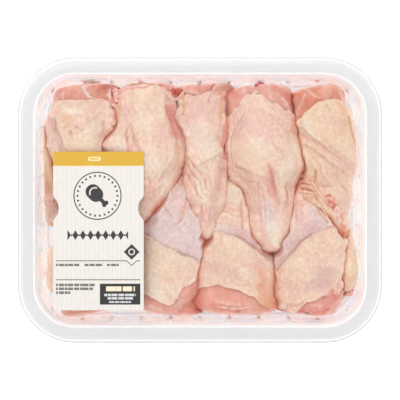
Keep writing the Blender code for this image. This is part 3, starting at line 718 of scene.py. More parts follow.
def pressed(piece, others, centre, reach, spare):
    """The points centre + reach, drawn in where the tray or another drumette is in the way."""

    def room(which, share):
        points = centre[which] + reach[which] * share[:, None]
        clear = room_in_tray(points) - TRAY_GAP - spare[which]
        own = piece.depth(points)
        lap = over_seam(points)
        for other, side in others:
            between = own - other.depth(points) + side * lap - SEAM_GAP
            clear = np.minimum(clear, between - 2 * spare[which])
        return clear

    share = np.ones(len(centre))
    blocked = np.flatnonzero(room(np.arange(len(centre)), share) < 0)
    low, high = np.zeros(len(blocked)), np.ones(len(blocked))
    for _ in range(HALVINGS):
        middle = (low + high) / 2
        inside = room(blocked, middle) >= 0
        low = np.where(inside, middle, low)
        high = np.where(inside, high, middle)
    share[blocked] = low
    return centre + reach * share[:, None]


drumettes = {name: Drumette(*sizes, SWELLINGS.get(name, ())) for name, sizes in DRUMETTES.items()}


def ball(name, around, rings):
    """A ball in object mode, with the turn and the ring number of each of its points."""
    start_alone()
    bpy.ops.mesh.primitive_uv_sphere_add(segments=around, ring_count=rings, radius=1.0)
    piece = bpy.context.object
    piece.name = name
    points = np.empty(len(piece.data.vertices) * 3)
    piece.data.vertices.foreach_get("co", points)
    points = points.reshape(-1, 3)
    angle = np.arctan2(points[:, 1], points[:, 0])
    angle = (angle + 0.42 * np.cos(angle)) % (2 * math.pi)
    ring = np.arccos(np.clip(points[:, 2], -1, 1)) / math.pi * rings
    return piece, angle, ring


def section_points(shape, t, angle, change):
    """Spine centres and outward reaches for points at t and angle, with the half sizes changed by so much."""
    centre, _, side, up = shape.spine_at(t)
    across, high = shape.half_sizes(t)
    turn_side = np.sign(np.cos(angle)) * np.abs(np.cos(angle)) ** (2 / SQUARENESS)
    turn_up = np.sign(np.sin(angle)) * np.abs(np.sin(angle)) ** (2 / SQUARENESS)
    across = np.maximum(across + change, across / 2)
    high = np.maximum(high + change, high / 2)
    return centre, side * (across * turn_side)[:, None] + up * (high * turn_up)[:, None]


def on_mark(points, drift, mark):
    """How strongly each point is on a mark, from 1 on its line to 0 outside. Wide marks are soft."""
    _, x0, y0, x1, y1, half_width, strength = mark
    start, run = np.array((x0, y0)) * MM, np.array((x1 - x0, y1 - y0)) * MM
    plan = points[:, :2] + drift[:, :2] * (0.5 + 0.5 * half_width) * MM - start
    share = np.clip(plan @ run / max(run @ run, 1e-9), 0, 1)
    away = np.linalg.norm(plan - share[:, None] * run, axis=1) / (half_width * MM)
    soft = min(0.35 + 0.12 * half_width, 0.95)
    near = np.clip((1 + soft - away) / (2 * soft), 0, 1)
    return strength * near * near * (3 - 2 * near)


def beside_step(points, line):
    """Signed distance from a broken line, positive on its left, and how far it has faded near its ends."""
    best, signed = np.full(len(points), 1.0), np.zeros(len(points))
    for start, end in zip(np.array(line[:-1]) * MM, np.array(line[1:]) * MM):
        run = end - start
        plan = points[:, :2] - start
        share = np.clip(plan @ run / (run @ run), 0, 1)
        away = np.linalg.norm(plan - share[:, None] * run, axis=1)
        left = np.sign(run[0] * plan[:, 1] - run[1] * plan[:, 0])
        signed = np.where(away < best, away * left, signed)
        best = np.minimum(best, away)
    from_ends = [np.linalg.norm(points[:, :2] - np.array(end) * MM, axis=1) for end in (line[0], line[-1])]
    return signed, np.clip(np.minimum(*from_ends) / (3 * MM), 0.25, 1)


def on_step(points, width, line):
    """How strongly each point lies in the thin skin, on the step's raised lip, and at its foot."""
    signed, fade = beside_step(points, line)
    inward = np.clip(1 - signed / (width * MM), 0, 1) ** 0.8
    thin = np.where(signed > 0, inward, np.clip(1 + signed / (0.4 * MM), 0, 1))
    lip = np.exp(-((signed + 0.5 * MM) / (0.7 * MM)) ** 2)
    foot = np.exp(-((signed - 0.3 * MM) / (0.6 * MM)) ** 2)
    return thin * fade, lip * fade, foot * fade


# Vector noise starts from the clock unless it is seeded,
# and the marks have to stray the same way in each run
DRIFT_SEED = 7
noise.seed_set(DRIFT_SEED)


def wandering(points):
    """Which way and how far the marks near each point stray, so that none of them has a straight edge."""
    moved = np.array([noise.noise_vector(Vector(point)) for point in points * 110.0])
    return 1.3 * moved + 0.6 * np.array([noise.noise_vector(Vector(point)) for point in points * 380.0])


def wrinkling(points, drift, wrinkles):
    """How deep each point lies in the valleys of the wrinkles, in millimetres."""
    deep = np.zeros(len(points))
    x, y = points[:, 0] / MM + 0.9 * drift[:, 0], points[:, 1] / MM + 0.9 * drift[:, 1]
    for middle_x, middle_y, radius, turn, apart, depth in wrinkles:
        turn = math.radians(turn)
        across = (y - middle_y) * math.cos(turn) - (x - middle_x) * math.sin(turn)
        along = (x - middle_x) * math.cos(turn) + (y - middle_y) * math.sin(turn)
        across += 0.9 * np.sin(along / apart + middle_x) + 0.4 * np.sin(1.9 * along / apart)
        near = np.exp(-1.2 * ((x - middle_x) ** 2 + (y - middle_y) ** 2) / radius**2)
        deep += depth * near * (1 - np.abs(np.sin(math.pi * across / apart))) ** 1.5
    return deep


def relief(points, marks, steps, wrinkles, upper):
    """How far the marks, steps and wrinkles of the upper side stand out at each point, in metres."""
    drift = wandering(points)
    rise = np.zeros(len(points))
    for mark in marks:
        rise += MARKS[mark[0]][1] * MM * on_mark(points, drift, mark)
    for _, width, strength, line in steps:
        thin, lip, foot = on_step(points + STEP_DRIFT * drift, width, line)
        rise += strength * MM * (0.8 * lip - 0.9 * foot - 0.2 * thin)
    return (rise - WRINKLE_GAIN * MM * wrinkling(points, drift, wrinkles)) * upper


def blend(colour, share, tone):
    """The colours with a share of another screen colour laid over them."""
    share = np.clip(share, 0, 1)[:, None]
    return colour * (1 - share) + np.array(rgb(*tone)[:3]) * share


def one_tone(points, tone):
    """The same screen colour for every point."""
    return np.tile(rgb(*tone)[:3], (len(points), 1))


def painted(points, tone, marks, steps, wrinkles, upper, crease):
    """Each point's colour: tone, steps, marks and wrinkles, then painted shade that reddens the creases."""
    drift = wandering(points)
    colour = one_tone(points, tone)
    mottle = np.clip(0.5 + 1.3 * lumps(points, 85.0) + 0.5 * lumps(points, 210.0), 0, 1)
    small = np.clip(0.5 + 1.4 * lumps(points, 420.0), 0, 1)
    colour = blend(colour, 0.45 * mottle, (250, 227, 198))
    colour = blend(colour, 0.36 * (1 - mottle), (242, 192, 176))
    colour = blend(colour, 0.28 * small, (250, 229, 212))
    colour = blend(colour, 0.2 * (1 - small), (234, 184, 166))
    for kind, width, strength, line in steps:
        thin, lip, foot = on_step(points + STEP_DRIFT * drift, width, line)
        colour = blend(colour, strength * thin * upper, MARKS[kind][0])
        colour = blend(colour, 0.4 * strength * lip * upper, (247, 222, 202))
        # Painted shade at the foot of each step, beside the thick skin's raised lip
        colour = blend(colour, 0.55 * strength * foot * upper, (200, 142, 124))
    for mark in marks:
        colour = blend(colour, on_mark(points, drift, mark) * upper, MARKS[mark[0]][0])
    colour = blend(colour, 0.7 * wrinkling(points, drift, wrinkles) * upper, (218, 160, 136))
    # Painted shade, darker and redder towards each seam with a neighbour
    colour = blend(colour, 0.55 * crease**2, (234, 168, 132))
    return blend(colour, 0.8 * crease**6, (190, 92, 62))


def paint(piece, colour, glow):
    """Stores for each point of a piece its colour, and a painted glow that stands for light soaking through.
    """
    layer = piece.data.attributes.new("paint", "FLOAT_COLOR", "POINT")
    layer.data.foreach_set("color", np.hstack([colour, np.ones((len(colour), 1))]).ravel())
    layer = piece.data.attributes.new("glow", "FLOAT", "POINT")
    layer.data.foreach_set("value", glow)


def plug_bump(start, shader, strength, distance, height):
    """Roughens a material's surface by a height, over so great a distance."""
    inputs = {"Strength": strength, "Distance": distance, "Height": height}
    plug(start.node("ShaderNodeBump", {}, inputs), shader, "Normal")


def wet_material(name, roughness, radius, cell, along, rough):
    """Moist flesh: painted colour, fine creases, mottling, light soaking in, painted glow, uneven gloss."""
    material, shader, start = new_material(
        name, Subsurface_Weight=0.3, Subsurface_Scale=1.0, Subsurface_Radius=radius, IOR=1.38,
        Coat_Weight=0.3, Coat_Roughness=0.1, Emission_Strength=0.28
    )
    # The glow attribute lights seams and skin edges with a painted red glow, standing in for light through
    # the flesh
    glow = start.node("ShaderNodeAttribute", {"attribute_name": "glow"}, {}, "Fac")
    plug(glow.colours((0, 0, 0, 1), (0.45, 0.13, 0.07, 1)), shader, "Emission Color")
    tone = start.node("ShaderNodeAttribute", {"attribute_name": "paint"}, {}, "Color")
    stretched = start.node(
        "ShaderNodeVectorMath", {"operation": "MULTIPLY"}, {0: start.place(), 1: (1.0, along, 1.0)}
    )
    shift = start.node("ShaderNodeTexNoise", {}, {"Vector": stretched, "Scale": 90.0, "Detail": 2.0}, "Color")
    amount = (0.012, 0.012, 0.012)
    bent = start.node(
        "ShaderNodeVectorMath", {"operation": "MULTIPLY_ADD"}, {0: shift, 1: amount, 2: stretched}
    )
    borders = {"feature": "DISTANCE_TO_EDGE"}
    cells = start.node("ShaderNodeTexVoronoi", borders, {"Vector": bent, "Scale": cell})
    # Painted shade: the colour is darker and redder along the fine creases, and the speckle mottles it at
    # random
    fine_crease = cells.eased(0.0, 0.16)
    speckle = start.grain(420.0, 4.0, 0.65, stretched)
    evenness = fine_crease * 0.35 + speckle.eased(0.25, 0.75) * 0.65
    shade = evenness.colours((0.90, 0.83, 0.79, 1), (1.06, 1.07, 1.07, 1))
    darken = {"data_type": "RGBA", "blend_type": "MULTIPLY"}
    lit = start.node("ShaderNodeMix", darken, {0: 1.0, 6: tone, 7: shade}, 2)
    plug(lit, shader, "Base Color")
    plug(start.grain(160.0, 3.0) * 0.25 + roughness, shader, "Roughness")
    height = start.grain(260.0, 3.0, 0.55, stretched) * 0.6 + start.grain(900.0, 2.0) * 0.15
    height = height + fine_crease * 0.3
    plug_bump(start, shader, rough, 0.0009, height)
    return material


meat = wet_material(
    "raw_meat", roughness=0.26, radius=(0.004, 0.0012, 0.0008), cell=420.0, along=0.25, rough=0.3
)
skin = wet_material(
    "raw_skin", roughness=0.28, radius=(0.005, 0.0022, 0.0014), cell=330.0, along=0.8, rough=0.55
)
# The white light and the film take some red out of the flesh, and this puts it back
FLESH_GAIN = np.array((1.06, 0.98, 0.98))
MEAT_GAIN = (0.92, 0.99, 1.0)


def finish_flesh(piece, points, colour, glow, material):
    """Gives a ball its final points and colours, with its faces outwards and smooth."""
    piece.data.vertices.foreach_set("co", points.ravel())
    piece.data.update()
    paint(piece, np.clip(colour * FLESH_GAIN, 0, 1), glow)
    bpy.ops.object.mode_set(mode="EDIT")
    bpy.ops.mesh.select_all(action="SELECT")
    bpy.ops.mesh.normals_make_consistent(inside=False)
    bpy.ops.object.mode_set(mode="OBJECT")
    bpy.ops.object.shade_smooth()
    piece.data.materials.append(material)
    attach(piece, "root")


def closeness(points, others, reach):
    """1 where another drumette is pressed close, easing to 0 within the reach."""
    closest = np.full(len(points), -1.0)
    for other, _ in others:
        closest = np.maximum(closest, other.depth(points))
    return np.clip(1 + closest / reach, 0, 1)


def facing_up(angle):
    """1 over the upper side, easing to 0 underneath."""
    return np.clip(np.sin(angle) * 3 + 0.6, 0, 1)


def swelling_to_meet(shape, others, points):
    """How far the flesh swells at each point, by its own shape and to meet the piece beside it."""
    return shape.swelling(points) + SWELL_TO_MEET * closeness(points, others, SWELL_REACH)


def risen(reach, rise):
    """The reaches made longer by the rise, or shorter, but never by more than a part of their length."""
    size = np.linalg.norm(reach, axis=1)
    change = np.clip(rise, -MOST_SUNK * size, MOST_RAISED * size) / np.maximum(size, 0.1 * MM)
    return reach * (1 + change)[:, None]


def sunk_at_seams(points, others, upper):
    """Sinks the upper side into a groove along each seam, and tells how near each point is to one."""
    crease = closeness(points, others, CREASE_REACH)
    points[:, 2] -= GROOVE * crease**2 * upper
    return crease


# From the piece laid on top of all others to the one right underneath
ORDER = (
    "top_4", "top_2", "top_3", "top_1", "top_5",
    "bottom_3", "bottom_2", "right", "bottom_4", "bottom_1", "left",
)
MEAT_MARKS = {
    "top_1": (("orange", -81, 70, -79, 69, 2, 0.8), ("fat", -72, 70, -70, 65, 0.8, 0.9),
              ("fat", -70, 65, -67, 62, 0.6, 0.8), ("muscle", -88, 62, -78, 66, 3, 0.6),
              ("orange", -60, 67, -57, 66, 2.5, 0.6), ("muscle", -70, 62, -60, 62, 3, 0.5),
              ("fat", -86, 67, -85, 62, 0.7, 0.4), ("pink", -78, 60, -74, 57, 3, 0.5)),
    "top_2": (("fat", -46, 71, -30, 72, 1, 0.5), ("muscle", -44, 66, -36, 67, 1.5, 0.5),
              ("dark", -25, 71, -20, 60, 1.5, 0.8), ("pink", -48, 68, -40, 69, 2, 0.5),
              ("red", -51, 62, -50, 61, 1.6, 0.8)),
    "top_3": (("fat", -9, 68, 6, 64, 0.8, 0.5), ("orange", 8, 68, 12, 70, 1.5, 0.5),
              ("muscle", -8, 70, 6, 70, 2, 0.4)),
    "top_4": (("muscle", 20, 66, 27, 58, 2.5, 0.5), ("fat", 27, 70, 33, 62, 0.7, 0.5),
              ("orange", 18, 56, 20, 52, 2, 0.5), ("muscle", 46, 70, 56, 64, 2.5, 0.5),
              ("pink", 28, 68, 24, 58, 2.5, 0.5), ("fat", 48, 66, 56, 60, 0.6, 0.3)),
    "top_5": (("muscle", 64, 62, 70, 68, 3, 0.7), ("fat", 66, 70, 74, 64, 0.6, 0.5),
              ("orange", 76, 68, 84, 70, 2, 0.5), ("fat", 62, 58, 66, 66, 0.6, 0.4),
              ("orange", 63, 52, 66, 56, 2, 0.4)),
    "bottom_1": (("orange", -86, -71, -76, -72, 2.5, 0.5),),
    "bottom_2": (("orange", -29, -69, -25, -71, 1.5, 0.8), ("fat", -20, -68, -10, -62, 0.8, 0.4),
                 ("muscle", -4, -54, 3, -44, 2, 0.7), ("muscle", -14, -70, -6, -66, 2, 0.5),
                 ("fat", -32, -66, -24, -69, 0.7, 0.5)),
    "bottom_3": (("red", 22, -70, 25, -70, 1, 0.8), ("muscle", 8, -66, 20, -68, 2, 0.5),
                 ("fat", 12, -64, 26, -66, 0.8, 0.4), ("orange", 36, -66, 40, -68, 2, 0.5)),
    "bottom_4": (("dark", 66, -71, 76, -73, 0.9, 0.8), ("red", 61, -70, 64, -70, 1, 0.7),
                 ("fat", 68, -66, 80, -66, 0.7, 0.4), ("muscle", 78, -68, 84, -60, 2, 0.5)),
}

flesh_pieces = []
for name, shape in drumettes.items():
    rank = ORDER.index(name)
    others = [(other, 1 if rank < ORDER.index(key) else -1) for key, other in drumettes.items()
              if other is not shape and np.all(other.low < shape.high) and np.all(other.high > shape.low)]
    tone, meat_tone, marks = TONES[name]
    meat_marks, steps, wrinkles = MEAT_MARKS.get(name, ()), STEPS.get(name, ()), WRINKLES.get(name, ())

    around, rings = (int(count * fine) for count in MEAT_GRID)
    flesh, angle, ring = ball("meat_" + name, around, rings)
    upper = facing_up(angle)
    t = (1 - np.cos(math.pi * ring / rings)) / 2
    edge = shape.skin_edge(angle)
    under_skin = np.clip((t - edge) / TUCKED, 0, 1)
    t = np.clip(t, 0.0, 1.0 - TUCKED * under_skin)
    centre, reach = section_points(shape, t, angle, -SKIN_ROOM)
    free = centre + reach
    rise = swelling_to_meet(shape, others, free)
    rise += (1 - under_skin) * (1.2 * MM * lumps(free, 110.0) + 0.5 * MM * lumps(free, 300.0))
    rise += (1 - under_skin) * relief(free, meat_marks, (), (), upper)
    reach = risen(reach, rise)
    reach[(ring < 0.5) | (ring > rings - 0.5)] = 0
    points = pressed(shape, others, centre, reach, SKIN_ROOM * under_skin)
    streaks = np.clip(lumps(points * (1, 0.22, 1), 420.0) * 1.8 - 0.2, 0, 1)
    colour = blend(one_tone(points, meat_tone), 0.3 * streaks, (244, 204, 190))
    colour = blend(colour, np.clip(1.2 * lumps(points * (1, 0.5, 1), 150.0), 0, 0.6), (243, 206, 194))
    colour = blend(colour, 0.4 * (0.5 + 0.5 * lumps(points, 120.0)), (224, 142, 122))
    drift = wandering(points)
    for mark in meat_marks:
        colour = blend(colour, on_mark(points, drift, mark) * upper, MARKS[mark[0]][0])
    # Painted shade: the meat darkens and reddens under the skin's edge and towards each seam
    at_edge = np.exp(-(edge - t) * shape.length / (1.2 * MM)) * (t < edge)
    crease = sunk_at_seams(points, others, upper)
    colour = blend(colour, 0.4 * at_edge + 0.6 * crease**3, (196, 104, 82)) * MEAT_GAIN
    # A painted glow at the seams and along the skin's edge
    finish_flesh(flesh, points, colour, 0.8 * np.maximum(crease, 0.5 * at_edge) ** 3, meat)
    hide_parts("drumette_" + name)
    flesh_pieces.append(flesh)

    around, rings = (int(count * fine) for count in SKIN_GRID)
    sleeve, angle, ring = ball("skin_" + name, around, rings)
    bpy.ops.object.mode_set(mode="EDIT")
    bpy.ops.mesh.select_mode(type="VERT")
    bpy.ops.mesh.select_all(action="DESELECT")
    bpy.ops.object.mode_set(mode="OBJECT")
    sleeve.data.vertices[int(np.argmin(ring))].select = True
    bpy.ops.object.mode_set(mode="EDIT")
    bpy.ops.mesh.delete(type="VERT")
    bpy.ops.object.mode_set(mode="OBJECT")
    keep = ring >= 0.5
    angle, ring = angle[keep], ring[keep]
    upper = facing_up(angle)
    share = (ring - 1) / (rings - 1)
    share = 0.5 * share + 0.5 * (1 - np.cos(math.pi * share)) / 2
    edge = shape.skin_edge(angle)
    t = edge + (1 - edge) * share
    centre, reach = section_points(shape, t, angle, 0.0)
    free = centre + reach
    rise = swelling_to_meet(shape, others, free)
    rise += relief(free, marks, steps, wrinkles, upper) + 0.7 * MM * lumps(free, 62.0)
    rise += 0.26 * MM * lumps(free, 210.0) + 0.16 * MM * lumps(free, 480.0)
    rise += 0.4 * MM * np.exp(-(t - edge) * shape.length / (2.0 * MM))
    reach = risen(reach, rise)
    reach[ring > rings - 0.5] = 0
    points = pressed(shape, others, centre, reach, np.zeros(len(t)))
    crease = sunk_at_seams(points, others, upper)
    colour = painted(points, tone, marks, steps, wrinkles, upper, crease)
    # A painted glow deep in the seams
    finish_flesh(sleeve, points, colour, crease**7, skin)
    give_thickness(sleeve, SKIN_THICKNESS)
    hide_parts("drumette_" + name)
    flesh_pieces.append(sleeve)


# Loose bits. Where the joints were cut and folded, flaps of skin, crumbs of fat, a blood clot and torn ends
# of meat lie on the drumettes and in the seams between them. Each is a flat lump along a short bent line, and
# clings to the drumette that it was cut from.

# The drumette it lies on, its line, half width and half height in millimetres, and two mottled tones
BITS = {
    "pink_strip": ("top_1", ((-54.5, 73), (-54, 68), (-51, 66), (-52, 60)), 2.0, 2.0, (222, 158, 152),
                   (243, 212, 202)),
    "pale_strip": ("top_1", ((-58.5, 73), (-58, 67), (-56, 62), (-53, 58)), 1.9, 2.0, (241, 212, 202),
                   (226, 170, 160)),
    "blood_spot": ("top_2", ((-52.5, 62.5), (-51.5, 60)), 1.0, 0.9, (200, 60, 45), (216, 90, 70)),
    "fat_clump": ("top_1", ((-74, 74), (-69, 75), (-63, 74)), 1.6, 1.6, (233, 225, 217), (226, 205, 196)),
    "fat_line": ("top_1", ((-73, 70), (-71, 64), (-65, 63)), 0.6, 0.7, (246, 226, 214), (240, 205, 190)),
    "upper_rim": ("top_2", ((-48, 72), (-38, 74), (-27, 72)), 1.3, 1.7, (243, 215, 190), (238, 190, 170)),
    "cup_meat": ("top_3", ((-18.5, 67.5), (-12.5, 67)), 2.8, 1.0, (206, 98, 80), (228, 134, 116)),
    "cup_rim": ("top_3", ((-22.5, 71), (-20, 61), (-13, 60), (-9.5, 69)), 1.1, 1.5, (243, 213, 196),
                (236, 188, 172)),
    "fat_knob": ("top_4", ((33.2, 67.5), (34.8, 65.6)), 1.9, 1.2, (245, 233, 214), (240, 220, 200)),
    "clot": ("top_4", ((34.5, 71), (37, 73), (41, 73.8)), 1.7, 1.8, (196, 64, 74), (222, 112, 114)),
    "membrane": ("top_4", ((50.5, 64), (53.5, 60), (56.5, 54)), 1.5, 0.5, (243, 208, 198),
                 (236, 180, 168)),
    "torn_meat": ("top_5", ((79, 2.5), (83, 0), (86.5, -6)), 2.8, 1.2, (216, 130, 114), (238, 186, 170)),
    "torn_end": ("top_5", ((85, -3), (88, -8), (88.5, -15)), 2.4, 1.5, (246, 221, 210), (233, 174, 160)),
    "folded_rim": ("top_5", ((66.5, 18), (71.5, 8), (81, -3)), 1.0, 1.2, (243, 213, 184),
                   (237, 192, 162)),
    "tuft": ("top_5", ((77.5, 61), (80.5, 58), (81.5, 53)), 0.8, 0.5, (244, 218, 190), (236, 196, 166)),
    "seam_loop": ("top_3", ((15.6, 37), (17.6, 31), (16, 25)), 1.0, 1.3, (236, 180, 164),
                  (222, 142, 124)),
    "ridge": ("bottom_4", ((64, 4), (77, -1), (81, -14)), 1.0, 1.0, (245, 223, 194), (234, 192, 154)),
    "seam_tissue": ("bottom_4", ((88, -50), (87, -55), (84, -59)), 1.8, 1.4, (238, 184, 168),
                    (243, 206, 188)),
    "gap_tissue": ("right", ((89, -15), (91.5, -19), (90.5, -24)), 1.8, 1.6, (226, 158, 132),
                   (240, 190, 160)),
    "cut_edge": ("bottom_4", ((68, -70), (75, -73), (81, -68)), 1.2, 1.4, (236, 176, 160),
                 (222, 130, 116)),
    "thread": ("bottom_3", ((10, -66), (22, -69.5), (34, -66)), 0.6, 0.6, (245, 216, 204),
               (238, 186, 172)),
}
for number, y in enumerate((14.5, 11.3, 8.1, 4.9)):
    line = ((62.0, y), (67.0, y + 1.6), (72.5 + 0.3 * number, y - 2.2))
    BITS["knuckle_fold_%d" % (number + 1)] = ("bottom_4", line, 1.3, 1.5, (243, 210, 186), (234, 182, 160))
BIT_AROUND, BIT_RINGS, BIT_HEIGHTS = 28, 40, 9
LOWEST_BIT = 20 * MM
UNDER_FILM = 45.0 * MM


def height_at(x, y):
    """Height of the uppermost flesh at a place."""
    heights = [LOWEST_BIT]
    for piece in flesh_pieces:
        hit, spot, _, _ = piece.ray_cast(Vector((x, y, 60 * MM)), Vector((0, 0, -1)))
        if hit:
            heights.append(spot.z)
    return max(heights)


def bent_line(guides, t):
    """Points of a smooth curve that starts and ends at the outer guides and leans towards the others."""
    order = len(guides) - 1
    shares = [math.comb(order, i) * t**i * (1 - t) ** (order - i) for i in range(order + 1)]
    return sum(share[:, None] * guide for share, guide in zip(shares, guides))


for name, (owner, line, half_width, half_height, tone, second) in BITS.items():
    bit, angle, ring = ball("bit_" + name, BIT_AROUND, BIT_RINGS)
    t = ring / BIT_RINGS
    guides = np.array(line) * MM
    plan = bent_line(guides, t)
    ahead = bent_line(guides, np.clip(t + 0.02, 0, 1)) - bent_line(guides, np.clip(t - 0.02, 0, 1))
    ahead /= np.linalg.norm(ahead, axis=1, keepdims=True)
    stations = np.linspace(0, 1, BIT_HEIGHTS)
    heights = [height_at(x, y) for x, y in bent_line(guides, stations)]
    evened = np.convolve(np.pad(heights, 1, mode="edge"), (0.25, 0.5, 0.25), mode="valid")
    level = np.interp(t, stations, evened)
    cap = np.sqrt(np.clip(1 - np.abs(2 * t - 1) ** 3, 0, 1))
    middle = np.column_stack([plan, level])
    outwards = np.column_stack([np.cos(angle), np.sin(angle), angle * 0])
    swollen = 1 + 0.45 * lumps(middle + outwards * 2 * MM, 330.0)
    across = np.cos(angle) * half_width * MM * cap * swollen
    up = np.sin(angle) * half_height * MM * cap * swollen
    points = middle + np.column_stack([-ahead[:, 1] * across, ahead[:, 0] * across, up])
    points[:, 2] = np.minimum(points[:, 2], UNDER_FILM)
    mottle = np.clip(0.5 + 1.6 * lumps(points, 450.0), 0, 1)
    colour = blend(one_tone(points, tone), mottle, second)
    # Undersides are darker, with a faint painted glow standing in for light through the flesh
    underside = np.clip(-np.sin(angle), 0, 1)
    finish_flesh(bit, points, blend(colour, underside, (216, 156, 136)), 0.1 * underside, skin)
    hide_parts("drumette_" + owner)


# The top film. Thin clear plastic is stretched over the rim, sealed to its flat band by heat and cut to size.
# It waves a little between the chicken and the seal.

FILM_MARGIN = 3.8 * MM
FILM_HEIGHT = 45.42 * MM
FILM_THICKNESS = 0.06 * MM
FILM_GRID = 4 * MM
FILM_WAVE = 0.10 * MM
# Beyond these distances from the middle the film is sealed and flat, and its waves grow inwards from there
FLAT_BEYOND = (103.5 * MM, 79 * MM)
WAVE_EASE = 8 * MM

film = rounded_plate(
    "film_sheet", TRAY_LENGTH - 2 * FILM_MARGIN, TRAY_WIDTH - 2 * FILM_MARGIN, TRAY_CORNER - FILM_MARGIN,
    [i * FILM_GRID for i in range(-27, 28)], [i * FILM_GRID for i in range(-21, 22)]
)
bpy.ops.transform.translate(value=(0, 0, FILM_HEIGHT))
bpy.ops.object.mode_set(mode="OBJECT")
for vert in film.data.vertices:
    x, y, _ = vert.co
    inside = min(max(min(FLAT_BEYOND[0] - abs(x), FLAT_BEYOND[1] - abs(y)) / WAVE_EASE, 0), 1)
    wave = noise.noise(Vector((x * 38, y * 30, 1.7))) + 0.5 * noise.noise(Vector((x * 95, y * 70, 4.2)))
    vert.co.z += FILM_WAVE * wave * inside
give_thickness(film, FILM_THICKNESS)
bpy.ops.object.shade_smooth_by_angle(angle=math.radians(40))
clear_film, shader, start = new_material("clear_film", Roughness=0.06, IOR=1.45)
plug(start.grain(30.0).colours(rgb(250, 250, 250), rgb(255, 255, 255)), shader, "Base Color")
plug_bump(start, shader, 0.3, 0.0005, start.grain(55.0, 3.0))
edge_on = start.node("ShaderNodeLayerWeight", {}, {"Blend": 0.5}, "Facing")
see_through(start, shader, edge_on.eased(0.4, 1.0) * 0.3 + 0.008)
film.data.materials.append(clear_film)
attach(film, "root")
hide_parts("lid_film")


# The label. Off-white paper with fine laid lines is printed with a yellow band, an emblem in a ring, a row
# of diamonds, rules and a dark panel, then cut with a notch in each long side and stuck to the film.

LABEL_CENTRE = (-63.0 * MM, -19.2 * MM)
LABEL_SIZE = (56.2 * MM, 98.4 * MM)
LABEL_HEIGHT = 46.0 * MM
LABEL_THICKNESS = 0.15 * MM
LABEL_CORNER = 0.9 * MM
NOTCH_MIDDLE = -5.1 * MM
# How far in from each long side the notch is cut, at places up and down from its middle, in millimetres
NOTCH_PROFILE = (
    (-7.9, 0), (-6.6, 0.75), (-5.3, 1.7), (-4.2, 2.45), (-3.1, 2.95), (-1.6, 3.35), (0, 3.5), (1.6, 3.35),
    (3.1, 2.95), (4.2, 2.45), (5.3, 1.7), (6.6, 0.75), (7.9, 0),
)

start_alone()
bpy.ops.mesh.primitive_plane_add(size=1.0, location=(*LABEL_CENTRE, LABEL_HEIGHT))
label = bpy.context.object
label.name = "label_paper"
bpy.ops.object.mode_set(mode="EDIT")
bpy.ops.transform.resize(value=(*LABEL_SIZE, 1.0))
bpy.ops.mesh.bevel(affect="VERTICES", offset=LABEL_CORNER, segments=4, profile=0.5)
for offset, _ in NOTCH_PROFILE:
    cut_across((0, NOTCH_MIDDLE + offset * MM, 0), (0, 1, 0))
bpy.ops.object.mode_set(mode="OBJECT")
bpy.ops.object.transform_apply()
for vert in label.data.vertices:
    for offset, inward in NOTCH_PROFILE:
        if abs(vert.co.y - NOTCH_MIDDLE - offset * MM) < 0.01 * MM:
            vert.co.x -= math.copysign(inward * MM, vert.co.x - LABEL_CENTRE[0])
give_thickness(label, LABEL_THICKNESS)

paper, shader, start = new_material("label_print", Roughness=0.55)
place = start.place()
x, y = place.part(0) / MM, place.part(1) / MM


def inked(distance, soft=0.12):
    """1 where the distance outside a printed shape is below 0, with a slightly soft edge."""
    return distance.eased(soft, -soft)


def bar(left, low, right, high, round_by=0.0):
    """Distance outside a printed bar, whose corners may be round."""
    far_x = abs(x - (left + right) / 2) - ((right - left) / 2 - round_by)
    far_y = abs(y - (low + high) / 2) - ((high - low) / 2 - round_by)
    corner = far_x.largest(0.0).diagonal(far_y.largest(0.0))
    return corner + far_x.largest(far_y).smallest(0.0) - round_by


def from_point(across, up):
    """Distance from a point of the print."""
    return (x - across).diagonal(y - up)


def from_line(x0, y0, x1, y1):
    """Distance from a straight line between two points of the print."""
    run = (x1 - x0) ** 2 + (y1 - y0) ** 2
    share = ((x - x0) * ((x1 - x0) / run) + (y - y0) * ((y1 - y0) / run)).largest(0.0).smallest(1.0)
    return (x - x0 - share * (x1 - x0)).diagonal(y - y0 - share * (y1 - y0))


def dashes(left, right, middle, half_height, pitch):
    """A printed bar broken into short dashes of uneven length."""
    gaps = start.maths("SINE", x * (2 * math.pi / pitch)) + start.maths("SINE", x * (3.7 / pitch)) * 0.5
    return inked(bar(left, middle - half_height, right, middle + half_height)) * gaps.eased(-1.25, -0.8)


def any_of(*masks):
    """1 where any of the printed shapes is."""
    return functools.reduce(Wire.largest, masks)


laid = start.maths("SINE", x * (2 * math.pi / 1.17)) * 0.5
laid = laid + start.maths("SINE", x * (2 * math.pi / 2.83)) * 0.35
fibre = start.grain(900.0, 3.0)
stripes = (laid + (start.grain(260.0) - 0.5) * 2.0 + (fibre - 0.5)).eased(-1.0, 1.0)
ground = stripes.colours(rgb(226, 220, 212), rgb(235, 231, 225))
wavy = y - start.grain(70.0, 2.0, vector=start.node("ShaderNodeCombineXYZ", {}, {0: place.part(0)})) * 0.9
ground = wavy.eased(20.2, 20.75).colours(ground, rgb(250, 230, 182))
ground = wavy.eased(20.6, 20.9).colours(ground, fibre.colours(rgb(214, 168, 47), rgb(221, 175, 55)))
light_ink = inked(bar(-69.5, 24.2, -61.5, 26.8, 1.3)) - inked(bar(-68.2, 25.1, -62.8, 25.9, 0.4))
ground = light_ink.colours(ground, rgb(249, 228, 168))

